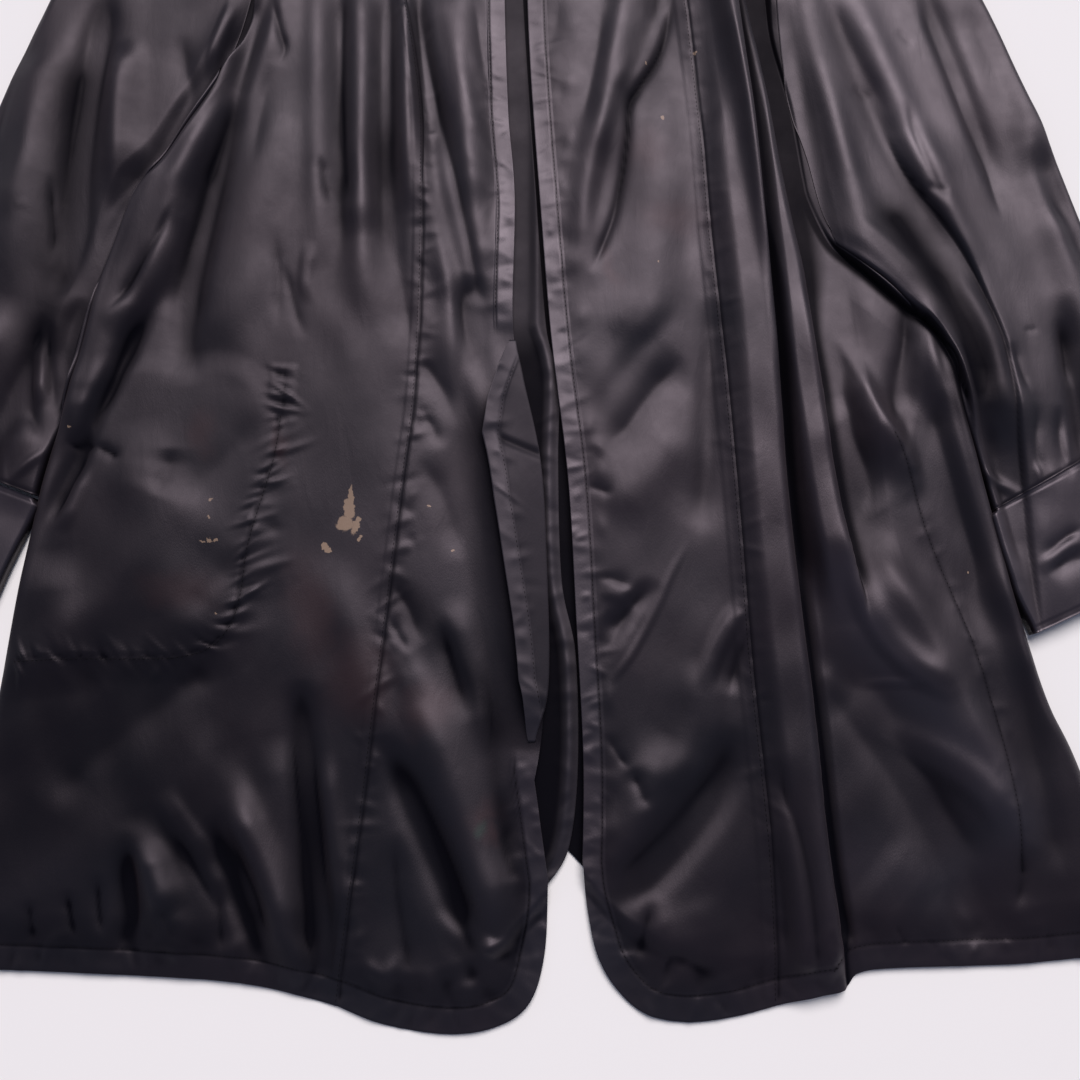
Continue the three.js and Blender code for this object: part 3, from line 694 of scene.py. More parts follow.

# Smaller creases that only the cloth has. Each runs along a curve through its points, positive heights are
# ridges and negative ones troughs, and the lean works as for the folds.
CREASES = """
  left_strip_ridge      7    3.5   0     -131,300 -131,240 -131,180 -128,130 -124,100
  left_strip_trough     5    -4    0     -144,300 -144,240 -141,190 -137,150 -134,120
  left_second_hollow    7    -4    0     -112,300 -112,220 -110,160 -105,110 -95,60 -88,20
  left_third_ridge      6    3     0     -100,300 -96,240 -92,190 -88,150 -82,110
  left_slanted_trough   4.5  -5    0     -94,300 -86,252 -76,212 -66,172 -58,138 -50,100 -43,60 -38,20
  left_slanted_ridge    8    3.2   0     -80,300 -70,250 -58,205 -46,165 -37,120
  left_band_crease      4    -2.2  0     -48,290 -42,245 -36,215 -30,195
  left_tuck             3    -3.5  0     -196,292 -189,262 -185,246 -190,232
  left_tuck_tail        6    -2.5  0     -192,235 -198,210 -201,180 -203,150
  left_long_hollow      10   -4    0     -214,212 -225,185 -230,150 -238,115 -248,75 -256,40
  left_long_crease      4    -4    0     -254,128 -264,103 -275,80 -286,60 -300,42
  left_long_ridge       7    3     0     -244,140 -256,105 -266,78 -282,48 -300,28
  left_short_crease     3.5  -2.6  0     -156,165 -152,145 -147,124
  left_fine_first       3    -1.6  0     -180,84 -174,66 -168,44 -160,24
  left_fine_second      4    -2    0     -186,110 -182,70 -180,30
  left_fine_third       3    1.6   0     -160,100 -163,70 -160,50
  left_armhole_edge     3.5  1     0     -228,224 -242,200 -256,176 -270,157 -284,139 -298,119 -304,98
  left_armhole_black    4    -5    0     -206,292 -211,275 -218,258 -226,240
  left_waist_hollow     9    -4    0     -246,70 -244,40 -238,15 -236,-8
  left_side_crevice     5    -3.5  0     -276,50 -283,25 -289,0 -296,-22 -300,-34
  left_pinch_first      3.5  -4.5  0     -302,-42 -310,-62 -318,-84 -325,-105
  left_pinch_second     3    -2.2  0     -300,-50 -290,-54 -280,-60
  left_pinch_third      3    -2.2  0     -322,-44 -312,-50 -302,-50 -292,-52
  left_pinch_ridge      5    2     0     -312,-10 -310,-35 -304,-48
  left_pinch_crest      4    2.5   0     -306,-62 -312,-86 -318,-110
  left_pocket_dip       8    -2.6  0     -248,-50 -250,-68 -256,-86
  left_pocket_hollow    14   -2.5  0     -186,-24 -212,-58 -250,-88
  left_pocket_low       12   -2.5  0     -196,-120 -220,-150 -232,-172
  left_low_diagonal     15   -4.5  0     -205,-185 -232,-210 -262,-235 -292,-262 -312,-290
  left_low_swell        16   1.5   0     -205,-232 -232,-262 -262,-292
  left_hem_first        6.5  -6    0     -156,-205 -152,-250 -146,-285 -141,-320 -137,-355 -133,-392
  left_hem_first_ridge  8    3     0     -170,-240 -164,-290 -156,-330 -146,-372
  left_hem_first_crest  5    3     0     -140,-250 -134,-290 -127,-330 -120,-362
  left_hem_second       5    -4.5  0     -200,-298 -189,-318 -176,-344 -168,-376
  left_hem_second_ridge 7    3     0     -198,-275 -182,-305 -166,-338 -154,-368
  left_hem_third        4    -3    0     -202,-330 -200,-352 -197,-380
  left_hem_fourth       4.5  -4.5  0     -259,-310 -256,-335 -252,-370
  left_hem_fifth        3    -2.6  0     -278,-326 -276,-348 -272,-369
  left_hem_sixth        3    -2.6  0     -297,-336 -293,-354 -289,-369
  left_hem_seventh      4    -2.6  0     -238,-342 -231,-358 -224,-371
  left_hem_eighth       5    2.6   0     -242,-275 -226,-298 -206,-322
  left_hem_ninth        4.5  -2.8  0     -234,-298 -220,-320 -206,-342 -201,-356
  left_hem_tenth        7    2.6   0     -248,-305 -240,-330 -226,-352
  left_hem_eleventh     3    -2    0     -320,-342 -318,-356 -316,-370
  front_dark_slant      9    -4.5  0     -98,-255 -84,-285 -66,-318 -50,-352 -38,-394
  front_corner_ridge    6    4     0     -60,-345 -44,-366 -30,-384 -22,-400
  front_corner_fold     3    2.8   0     -38,-366 -26,-372 -14,-366
  front_corner_crease   3    -2.2  0     -12,-362 -8,-376 -4,-388
  front_low_hollow      6    -3.2  0     -92,-300 -90,-335 -84,-370 -78,-398
  front_pale_ridge      6    2.6   0     -58,-150 -48,-185 -36,-215 -30,-255
  front_pale_hollow     6    -3    0     -66,-165 -56,-200 -46,-235
  front_edge_hollow     11   -9    0     -44,75 -51,40 -54,5 -52,-30 -48,-70 -44,-110 -38,-150
    -32,-190 -24,-230 -17,-268 -13,-304 -10,-335
  front_seam_swell      6    2     0     -100,-165 -88,-195 -76,-222
  front_pull_first      5    -2.8  0     -86,20 -76,5 -64,-14 -56,-38
  front_pull_second     7    -2.8  0     -84,-55 -70,-75 -60,-100 -52,-130
  front_pull_third      4    -2    0     -99,-140 -86,-160 -76,-185
  front_pull_fourth     3    -1.8  0     -99,-165 -92,-178 -84,-190
  front_pull_fifth      4    -1.8  0     -84,-20 -74,-34 -66,-52
  right_thin_trough     3.2  -4.5  0     97,292 91,258 83,236 70,214 64,200 62,176 58,148 52,118 44,95 35,72
  right_thin_ridge      7    3     0     86,290 79,252 66,224 54,202
  right_soft_first      6    -2.2  0     16,290 10,262 4,240
  right_soft_second     6    -2.4  0     46,285 42,245 34,205 30,180
  right_chest_swell     10   1     0     46,54 66,42 92,40
  right_chest_pull      8    -4.5  0     100,14 87,2 71,-18 57,-38 39,-56
  right_chest_tail      3    -1.8  0     30,-76 40,-80 50,-84
  right_cross_ridge     4    1.6   0     36,-146 50,-149 64,-156
  right_cross_trough    4    -1.8  0     34,-138 48,-141 62,-147
  right_cross_tail      4    -2    0     60,-158 52,-170 44,-188
  right_straight_line   1.6  0.7   0     100,-112 88,-134 74,-164 58,-192 40,-214
  right_seam_valley     9    -3    0     121,60 120,10 117,-40 111,-82 100,-108
  right_seam_fold       4    3     0     136,-152 124,-170 112,-192 104,-216
  right_seam_shadow     4    -3    0     137,-172 130,-190 122,-218
  right_big_arc         8    -5    0     128,-235 116,-264 100,-286 80,-304 60,-320 44,-338
  right_arc_ridge       8    3.2   0     104,-190 106,-230 98,-260 84,-282
  right_low_swell       9    1.5   0     56,-352 76,-362 100,-358 124,-350
  right_low_crease      4    -3.2  0     71,-342 65,-362 61,-384
  right_low_hollow      6    -3.2  0     76,-374 92,-381 114,-395
  right_short_first     4    -2.6  0     58,-262 64,-276 70,-290
  right_short_second    3    -2.2  0     42,-240 50,-254 58,-264
  pleat_first_shadow    6    -2    0     152,280 156,225 158,165 162,105 167,40 170,-15 173,-70
    178,-125 185,-175 187,-218
  pleat_second_shadow   8    -3    0     166,292 171,250 180,205 186,165 192,115 197,60 201,10
    203,-30 209,-62 220,-88
  right_pocket_black    5    -6    0     253,56 252,30 247,5 243,-18 237,-40
  right_pocket_crest    5    3     0     264,54 263,20 262,-10 257,-40 251,-64
  right_pocket_swell    10   4.5   0     205,10 208,-10 216,-30 228,-46 242,-58
  right_pocket_dark     9    -5.5  0     199,-38 207,-60 217,-80 226,-96
  right_side_crest      4    3.5   0     278,28 284,0 291,-40 300,-80 308,-120 313,-146
  right_side_dark       10   -3.5  0     268,-10 275,-60 283,-100 291,-150
  right_low_crest       6    4     0.3   203,-128 209,-154 221,-178 236,-196 254,-210 268,-217
  right_second_crest    7    3.6   0.3   208,-230 230,-246 254,-260 274,-275 287,-292 291,-308
  right_flat_line       1.8  1.1   0     206,-209 225,-208 247,-209
  right_low_valley      10   -5    0     182,-204 204,-236 228,-260 252,-284 270,-306 281,-328
  right_hem_swell       16   1.5   0     206,-322 226,-338 240,-352
  right_hem_trough      4    -4.5  0     262,-328 267,-350 272,-374
  right_hem_hollow      5    -2.8  0     302,-303 303,-330 296,-354
  right_side_low        8    -3.2  0     300,-150 310,-190 316,-240 322,-290 328,-332
  right_wedge_first     5    -4.5  0     150,-252 153,-275 162,-304 168,-340 171,-400
  right_wedge_second    4    -3.2  0     147,-298 151,-340 153,-388
  right_wedge_third     3    -2    0     186,-345 191,-358 196,-374
  right_hem_fine        2.5  -1.6  0     221,-356 226,-366 232,-372
  sleeve_right_edge     6    2     0     208,120 222,104 240,86 256,66 272,46 281,34
  sleeve_right_dark     11   -5    0     268,88 282,62 294,40 302,10 300,-24
  sleeve_right_inner    8    -4    0     303,-20 308,-60 312,-100 316,-142
  sleeve_right_crease   4    -3.5  0     278,292 286,262 295,232 304,200 314,176 321,158
  sleeve_right_second   3.5  -2.6  0     307,192 316,160 320,136 324,110
  sleeve_right_third    4    -3.4  0     262,208 266,180 272,156 280,132 287,120
  sleeve_right_fourth   4    -1.8  0     214,292 222,262 232,236 242,212 250,190
  sleeve_right_long     9    -1    0     226,238 234,206 242,180 250,156 258,132 268,112
  sleeve_right_outer    8    -3.6  0     346,172 352,152 360,130 371,104
  sleeve_right_soft     8    -2.4  0     310,290 324,250 334,215 344,180
  sleeve_right_low      3    -2.6  0     358,42 360,18 360,-10
  sleeve_right_fine     3    -2.2  0     321,24 326,0 331,-16
  sleeve_right_cross    2    -0.5  0     330,31 342,32
  sleeve_right_gather   4    -2.8  0     352,-20 350,-50 356,-76
  sleeve_right_gather_b 4    -2.8  0     336,-20 332,-50 336,-82
  sleeve_right_nick     2.5  -0.8  0     258,264 266,256 272,250
  sleeve_right_nick_b   2.5  -0.9  0     224,220 232,213 240,208
  sleeve_right_nick_c   2.5  -1.4  0     270,140 278,134 288,132
  cuff_right_crest      3    2.6   0     327,-137 340,-125 352,-117 364,-112
  cuff_right_shadow     3    -2.4  0     330,-129 344,-116 360,-105
  cuff_right_dark       6    -3    0     332,-138 346,-130 364,-124
  sleeve_left_trough    8    -5    0     -318,292 -318,240 -324,200 -326,150 -322,110 -330,76 -340,50
  sleeve_left_pale      8    4     0     -300,262 -297,200 -293,164 -290,146
  sleeve_left_dark      8    -4.5  0     -262,264 -256,236 -252,212 -258,190 -266,165 -277,146
  sleeve_left_line      3    3     0     -222,292 -230,262 -236,240 -238,222
  sleeve_left_fine      3    -2.4  0     -346,152 -344,125 -341,100 -343,78
  sleeve_left_tuck      5    -6    0     -342,48 -350,15 -352,-8 -345,-28 -333,-50
  sleeve_left_tuck_b    4    -4.5  0     -338,42 -338,15 -334,-8 -328,-32
  sleeve_left_crest     4    3.5   0     -346,30 -344,0 -338,-22
  sleeve_left_black     6    -6    0     -318,60 -319,38 -320,20 -325,-4
  sleeve_left_mark      2    0.2   0     -367,122 -357,125
  sleeve_left_swell     12   3     0     -352,-20 -350,-60 -356,-100
  sleeve_left_swell_b   10   3     0     -372,250 -372,180 -380,110
  sleeve_left_hollow    10   -3    0     -400,180 -410,100 -428,20
  sleeve_left_far       6    -3    0     -360,300 -380,220 -400,120
  cuff_left_crest       4    2.4   0     -470,-70 -440,-86 -400,-112 -368,-130
  yoke_left_first       8    -3.5  0     -60,400 -52,360 -48,320 -48,285
  yoke_left_second      7    3     0     -120,395 -108,350 -100,300
  yoke_left_third       6    -3    0     -160,392 -150,350 -144,300
  yoke_right_first      8    -3.5  0     60,400 66,360 82,320 96,288
  yoke_right_second     8    3     0     110,396 124,350 134,296
  yoke_right_third      7    -3    0     150,390 160,345 168,296"""


@dataclass(frozen=True)
class Fold:
    """One long fold, crease or trough of the relief."""

    what: str
    x0: float
    y0: float
    x1: float
    y1: float
    bow: float
    w0: float
    w1: float
    height: float
    lean: float = 0.0

    def raise_by(self, x: Array, y: Array) -> Array:
        """Gives the fold's height at places x and y.

        Across the fold it is the bell exp(-(aside / half width)²), and at both ends it fades smoothly.
        """
        dx, dy = self.x1 - self.x0, self.y1 - self.y0
        length = math.hypot(dx, dy)
        along = ((x - self.x0) * dx + (y - self.y0) * dy) / length**2
        aside = ((y - self.y0) * dx - (x - self.x0) * dy) / length
        aside = aside - self.bow * 4 * along * (1 - along)
        width = blend(self.w0, self.w1, np.clip(along, 0, 1)) * (1 + self.lean * np.sign(aside))
        reach = min(FOLD_FADE, 0.3 * length)
        fade = smooth(along * length / reach) * smooth((1 - along) * length / reach)
        return self.height * fade * np.exp(-((aside / width) ** 2))


def gathers(along: Array, away: Array, wave: float, width: float, seed: int) -> Array:
    """Gives short ridges and hollows across a sewn line, no two alike.

    Args:
        along: Lengths along the line.
        away: Distances from it.
        wave: The mean step from one ridge to the next.
        width: How far the ridges reach to both sides.
        seed: Picks their places, slants, reaches and heights.

    Returns:
        Heights between about -0.6 and 1.
    """
    count = 640
    random = np.random.default_rng(seed)
    place = (np.arange(count) + random.uniform(-0.42, 0.42, count)) * wave
    slant = random.normal(0.0, 0.3, count)
    middle = random.normal(0.0, 0.4 * width, count)
    reach = width * random.uniform(0.35, 1.1, count)
    thick = wave * random.uniform(0.3, 0.55, count)
    height = random.uniform(0.2, 1.0, count) * np.where(random.uniform(size=count) < 0.3, -0.7, 1.0)
    nearest = np.clip((along / wave).astype(int), 1, count - 3)
    total = np.zeros_like(along)
    for step in (-1, 0, 1, 2):
        i = nearest + step
        aside = away - middle[i]
        offset = along - place[i] - slant[i] * aside
        total += height[i] * np.exp(-((offset / thick[i]) ** 2) - (aside / reach[i]) ** 2)
    return total


@dataclass(frozen=True)
class Crease:
    """A small crease that follows a curve."""

    curve: Curve
    width: float
    height: float
    lean: float

    @classmethod
    def read(cls, line: str) -> "Crease":
        """Reads a crease from its row: name, half width, height, lean and the points it runs through."""
        _, width, height, lean, *cells = line.split()
        curve = Curve(pairs(cells))
        return cls(curve, CREASE_WIDTH * float(width), CREASE_HEIGHT * float(height), float(lean))

    def raise_by(self, x: Array, y: Array) -> Array:
        """Gives the crease's height at places x and y.

        A ridge is exp(-|0.82 aside / half width|³), with a broad top and steep sides. A trough is
        exp(1.3 (0.35 - sqrt((aside / half width)² + 0.35²))), a narrow bottom with long soft sides. Both
        fade in and out along the crease with smooth steps.
        """
        aside, along = self.curve.near(x, y, 4.0 * self.width)
        width = self.width * (1 + self.lean * np.sign(aside))
        share = np.abs(aside / width)
        if self.height > 0:
            peak = np.exp(-((0.82 * share) ** 3))
        else:
            peak = np.exp(1.3 * (0.35 - np.sqrt(share**2 + 0.1225)))
        peak = peak * smooth((4.0 * self.width - np.abs(aside)) / self.width)
        reach = min(28.0, 0.35 * self.curve.length)
        fade = smooth(along / reach) * smooth((self.curve.length - along) / reach)
        return self.height * fade * peak


@dataclass(frozen=True)
class Pleat:
    """A fold that rolls over and ends in a knife edge."""

    curve: Curve
    height: float
    roll: float
    top: float
    back: float
    depth: float
    valley: float
    side: float

    @classmethod
    def read(cls, line: str) -> "Pleat":
        """Reads a pleat from its row: name, seven numbers and the points of its knife edge."""
        cells = line.split()
        return cls(Curve(pairs(cells[8:])), *(float(cell) for cell in cells[1:8]))

    def raise_by(self, x: Array, y: Array) -> Array:
        """Gives the pleat's height at places x and y.

        From the knife edge it climbs as a quarter circle over the width of its roll, stays over its top and
        falls behind it as the bell exp(-(distance / back)²). Past the edge the cloth starts deep and rises
        over the width of its valley.
        """
        reach = max(self.roll + self.top + 2.6 * self.back, self.valley + 4)
        away, along = self.curve.near(x, y, reach)
        past = self.side * away
        behind = np.maximum(-past - self.roll - self.top, 0.0)
        wall = smooth((1.6 - past) / 3.2)
        fall = np.exp(-((behind / self.back) ** 2)) * smooth((reach - np.abs(away)) / (0.4 * self.back))
        roll = self.height * quarter_round(0.04 - past / self.roll) * wall * fall
        rising = 1 - 0.5 * (smooth(past / self.valley) + np.clip(past / self.valley, 0, 1))
        profile = roll - self.depth * rising * (1 - wall)
        ends = smooth(along / 60) * smooth((self.curve.length - along) / 60)
        return profile * ends

    def shade(self, x: Array, y: Array) -> Array:
        """Gives how much the roll keeps light from the valley past its edge, from 0 to 1."""
        away, along = self.curve.near(x, y, self.valley)
        past = self.side * away
        ends = smooth(along / 40) * smooth((self.curve.length - along) / 40)
        width = self.valley * blend(0.35, 1.0, smooth((along / self.curve.length - 0.38) / 0.2))
        return smooth((past + 0.8) / 1.6) * smooth(1.5 * (1 - past / width)) * ends


@dataclass(frozen=True)
class Pucker:
    """Cloth that a line of stitches draws together into short waves across the line."""

    curve: Curve
    height: float
    wave: float
    width: float
    seed: int
    lean: float = 0.0
    groove: float = 0.45
    ridge: float = 0.0
    ridge_width: float = 8.0
    shift: float = 0.0

    def raise_by(self, x: Array, y: Array) -> Array:
        """Gives the height of the gathers, of the thread's groove and of the allowance on the left."""
        reach = max(2.6 * self.width, self.ridge_width + 3) + abs(self.shift)
        away, along = self.curve.near(x, y, reach)
        beyond = smooth((reach - np.abs(away)) / (0.2 * reach))
        away = away - self.shift
        waves = self.height * gathers(along - self.lean * away, away, self.wave, self.width, self.seed)
        pulled = -self.groove * np.exp(-((away / 1.0) ** 2))
        allowance = self.ridge * smooth(away / 1.5) * smooth((self.ridge_width - away) / 2.5)
        ends = smooth(along / 6) * smooth((self.curve.length - along) / 6)
        return (waves + pulled + allowance) * ends * beyond

    def shade(self, x: Array, y: Array) -> Array:
        """Gives the painted shade in the groove that the thread pulls, from 0 to 1."""
        away, along = self.curve.near(x, y, 6.0)
        ends = smooth(along / 6) * smooth((self.curve.length - along) / 6)
        return np.exp(-(((away - max(self.shift, 0.0)) / 1.5) ** 2)) * ends * min(1.0, self.groove)


@dataclass(frozen=True)
class Border:
    """The turned and stitched edge of a front: a band along its hem and its front edge."""

    outline: Curve
    hem_length: float
    bare: tuple[float, float]
    seed: int

    def measure(self, x: Array, y: Array) -> tuple[Array, Array]:
        """Gives the distance inside the edge and the length along it."""
        away, along = self.outline.near(x, y, 48.0)
        return np.abs(away), along

    def width(self, along: Array) -> Array:
        """Gives the band's width: wider on the hem than on the front edge."""
        return blend(HEM_BAND, EDGE_BAND + 1.5, smooth((along - self.hem_length + 10) / 40))

    def shown(self, y: Array, along: Array) -> Array:
        """Gives 0 on the stretch of the front edge that is turned back, and 1 off it."""
        turned = smooth((y - self.bare[0]) / 14) * smooth((self.bare[1] - y) / 14)
        return 1 - turned * smooth((along - self.hem_length) / 20)

    def raise_by(self, x: Array, y: Array) -> Array:
        """Gives the band's thickness, its stitched groove and its waves, at places x and y."""
        inside, along = self.measure(x, y)
        width = self.width(along)
        shown = self.shown(y, along)
        on_hem = smooth((self.hem_length - 30 - along) / 60)
        band = blend(1.0, 0.3, on_hem) * smooth((width - inside) / blend(1.4, 5.0, on_hem))
        groove = blend(-0.6, -0.25, on_hem) * np.exp(-(((inside - width + GROOVE_IN) / 0.9) ** 2))
        waves = blend(0.6, 0.85, on_hem) * gathers(along, inside - 0.5 * width, 6.8, 9.0, self.seed)
        pulls = blend(1.0, 1.7, on_hem) * gathers(along, inside - width - 5, 17.0, 10.0, self.seed + 1)
        return (band + groove + waves + pulls) * shown

    def share(self, x: Array, y: Array) -> Array:
        """Gives the band's painted highlight: 1 on the front band, less on the hem, and below 0 painted
        shade in the groove.
        """
        inside, along = self.measure(x, y)
        width = self.width(along)
        on_hem = smooth((self.hem_length - along) / 60)
        band = smooth((width - inside) / 2 + 0.5) * blend(1.0, 0.45, on_hem)
        line = blend(1.3, 0.8, on_hem) * np.exp(-(((inside - width + GROOVE_IN) / 1.2) ** 2))
        return (band - line) * self.shown(y, along)

    def hold_down(self, x: Array, y: Array) -> Array:
        """Gives 0 on the free edge, where the cloth comes down, and 1 away from it."""
        inside, _ = self.measure(x, y)
        return smooth(inside / EDGE_REACH)


@dataclass(frozen=True)
class Streak:
    """A soft streak of painted shade along a curve, a painted highlight where its darkness is below 0."""

    curve: Curve
    width: float
    dark: float

    @classmethod
    def read(cls, line: str) -> "Streak":
        """Reads a streak from its row: name, width, how dark it is and the points it runs through."""
        _, width, dark, *cells = line.split()
        return cls(Curve(pairs(cells)), float(width), float(dark))

    def shade(self, x: Array, y: Array) -> Array:
        """Gives the streak's painted shade, below 0 a painted highlight: a bell across its curve, fading
        past both ends.
        """
        away, _ = self.curve.near(x, y, 2.5 * self.width)
        return self.dark * np.exp(-((away / self.width) ** 2))


@dataclass(frozen=True)
class PocketBag:
    """The outline of a pocket bag: a rectangle with rounded corners."""

    what: str
    x: float
    y: float
    half_width: float
    half_length: float
    corner: float

    def away(self, x: Array, y: Array) -> Array:
        """Gives the signed distance from the outline, negative inside."""
        dx = np.abs(x - self.x) - self.half_width + self.corner
        dy = np.abs(y - self.y) - self.half_length + self.corner
        outside = np.hypot(np.maximum(dx, 0), np.maximum(dy, 0))
        return outside + np.minimum(np.maximum(dx, dy), 0) - self.corner


def ripple(x: Array, y: Array, seed: int = 5) -> Array:
    """Gives the slight unevenness of worn satin: many long, low waves, most of them across the body.

    Each wave is a sine whose lines run mostly lengthwise, bent by a slower wave, and a slow patchwork makes
    some places calm.
    """
    random = np.random.default_rng(seed)
    total = np.zeros_like(x)
    bent = x + 7 * np.sin(y / 61 + 0.7) + 4 * np.sin(y / 27 + x / 90)
    leaning = y + 9 * np.sin(x / 53 + 1.1)
    for wave, height in ((74, 0.4), (52, 0.24), (38, 0.13), (27, 0.06)):
        for _ in range(3):
            angle = random.normal(0.0, 0.55)
            phase = random.uniform(0, 2 * np.pi)
            length = wave * random.uniform(0.85, 1.2)
            run = (bent * math.cos(angle) + leaning * math.sin(angle)) * 2 * np.pi / length
            total += height * np.sin(run + phase + 0.8 * np.sin(leaning / 43 + phase))
    calm = 0.55 + 0.45 * np.sin(bent / 83 + 2.0) * np.sin(leaning / 97 + 0.4)
    return total * calm


def turned_reach(y: Array) -> Array:
    """Gives how far the turned-back part of the left front's edge reaches from its fold."""
    table = read_table(TURN_REACH)[::-1]
    return np.interp(y, [row["y"] for row in table], [row["reach"] for row in table])


@dataclass
class Relief:
    """The height of the top layers of cloth above the floor."""

    folds: list[Fold] = field(init=False)
    creases: list[Crease] = field(init=False)
    pleats: list[Pleat] = field(init=False)
    streaks: list[Streak] = field(init=False)
    bags: list[PocketBag] = field(init=False)
    puckers: list[Pucker] = field(init=False)
    borders: list[Border] = field(init=False)

    def __post_init__(self) -> None:
        """Reads the tables and sets out the sewn lines."""
        self.folds = [Fold(**row) for row in read_table(FOLDS)]
        self.creases = [Crease.read(line) for line in lines_of(CREASES)]
        self.pleats = [Pleat.read(line) for line in lines_of(PLEATS)]
        self.streaks = [Streak.read(line) for line in lines_of(STREAKS)]
        self.bags = [PocketBag(**row) for row in read_table(BAGS)]
        self.puckers = [
            Pucker(LEFT_PRINCESS, 0.75, 8.0, 9.0, 11, ridge=0.4),
            Pucker(RIGHT_PRINCESS, 0.5, 8.0, 8.0, 12, ridge=0.45, ridge_width=10),
            Pucker(POCKET_LINE, 1.0, 4.6, 7.0, 13, lean=-0.7, groove=0.45, shift=-2.0),
            Pucker(POCKET_LINE, 0.8, 8.0, 12.0, 14, lean=-0.4, groove=0.0, shift=4.0),
            Pucker(POCKET_TACK, 1.6, 5.0, 9.0, 15, lean=0.3, groove=0.3),
            Pucker(SIDE_SEAM_RIGHT, 0.5, 9.5, 7.0, 16, groove=0.4),
        ]
        left = Curve.chain(LEFT_SIDE_HEM, LEFT_FRONT_HEM, LEFT_EDGE)
        right = Curve.chain(RIGHT_EDGE.stretch(1, 0, 600), RIGHT_FRONT_HEM, RIGHT_SIDE_HEM)
        right = right.stretch(1, 0, 1800)
        left_hem = LEFT_SIDE_HEM.length + LEFT_FRONT_HEM.length - ROUND_CORNER
        right_hem = RIGHT_SIDE_HEM.length + RIGHT_FRONT_HEM.length - ROUND_CORNER
        self.borders = [Border(left, left_hem, TURNED, 21), Border(right, right_hem, NOT_TURNED, 23)]

    def under(self, x: Array, y: Array) -> Array:
        """Gives the least height: over the back, the vent and the bags, and past the hem, the floor."""
        middle, spread, height = CENTRE_RISE
        centre = height * np.exp(-(((x - middle) / spread) ** 2))
        over = [BAG_RISE * smooth((12 - bag.away(x, y)) / 20) for bag in self.bags]
        start, length = HEM_DROP
        past = np.interp(x, BACK_HEM.dense[:, 0], BACK_HEM.dense[:, 1]) - y
        on_back = smooth((length + start - past) / length)
        return blend(FLOOR_LAYER, SECOND_LAYER + centre + np.maximum(*over), on_back)

    def rise(self, x: Array, y: Array, inland: Array | float = 1.0) -> Array:
        """Gives the loose cloth's height above what it lies on, softly above nothing.

        Args:
            x: Places across.
            y: Places along.
            inland: 0 on a free edge, where the cloth comes down, and 1 away from it.

        Returns:
            The height: the loft and all folds, pleats and creases, each lower near a free edge.
        """
        shapes = (*self.folds, *self.pleats, *self.creases)
        folds = sum(shape.raise_by(x, y) for shape in shapes)
        total = LOFT * blend(EDGE_LOFT, 1.0, inland) + folds * blend(EDGE_FOLDS, 1.0, inland)
        return (total + np.sqrt(total**2 + 4)) / 2

    def fine(self, x: Array, y: Array) -> Array:
        """Gives the fine relief: ripples, the sewn lines' puckers and the tacked square above the pocket."""
        left, right, low, high = TACK
        across = smooth((x - left) / 4) * smooth((right - x) / 4)
        tack = 0.7 * across * smooth((y - low) / 4) * smooth((high - y) / 4)
        return ripple(x, y) + sum(pucker.raise_by(x, y) for pucker in self.puckers) + tack

    def front(self, x: Array, y: Array) -> Array:
        """Gives the fronts' height, rolled down to the back along the side seams and the shoulders."""
        left = x < 0
        sideways = np.where(left, x - LEFT_BODY_SIDE.x_at(y), RIGHT_BODY_SIDE.x_at(y) - x)
        underarm = np.where(left, LEFT_UNDERARM_Y, RIGHT_UNDERARM_Y)
        at_side = blend(quarter_round(sideways / EDGE_ROUNDING), 1.0, smooth((y - underarm + 30) / 50))
        slope = SHOULDER_SLOPE * np.abs(np.abs(x - SHOULDER_MIDDLE) - SHOULDER_NECK)
        at_shoulder = quarter_round((SHOULDER_TOP - slope - y) / EDGE_ROUNDING)
        held = at_side * at_shoulder
        border = self.borders[0] if np.mean(x) < 12 else self.borders[1]
        near_edge = border.hold_down(x, y)
        base = blend(SECOND_LAYER, self.under(x, y), held)
        return base + self.rise(x, y, near_edge) * held + (self.fine(x, y) + border.raise_by(x, y)) * held

    def tone(self, x: Array, y: Array) -> Array:
        """Gives the painted shade and painted highlight of all the streaks together on the top layers."""
        return sum(streak.shade(x, y) for streak in self.streaks)

    def shade(self, x: Array, y: Array) -> Array:
        """Gives the painted shadow on the top layers beside pleats, in stitched lines and beside the
        turned-back edge.
        """
        marks = [shape.shade(x, y) for shape in (*self.pleats, *self.puckers)]
        # Painted shadow that the raised turned-back edge casts on the front to its left
        past = LEFT_EDGE.x_at(y) - turned_reach(y) - x
        held = smooth((y - TURNED[0]) / 40) * smooth((10 - y) / 40) * (x < 12)
        flap_shadow = np.exp(-np.maximum(past, 0) / 13) * held
        return np.maximum(np.maximum.reduce(marks), flap_shadow)

    @staticmethod
    def inside_vent(x: Array, y: Array) -> Array:
        """Gives how far places lie to the left of the left back's vent edge."""
        return LEFT_VENT.x_at(np.minimum(y, VENT_TOP)) - x

    def left_back_shade(self, x: Array, y: Array) -> Array:
        """Gives the left back's painted shade: darkest beside the front's edge, with a painted highlight on
        its own edge.
        """
        edge = self.inside_vent(x, y)
        low = smooth((60 - y) / 50)
        upper = 0.35 * smooth((y - 40) / 50)
        return upper + low * (0.95 * smooth((edge - 7) / 6) - 0.7 * smooth((8 - edge) / 3))

    @staticmethod
    def right_back_shade(x: Array, _: Array) -> Array:
        """Gives the right back's painted shade, down in the gap beside the right front: evenly dark."""
        return np.full_like(x, 0.95)

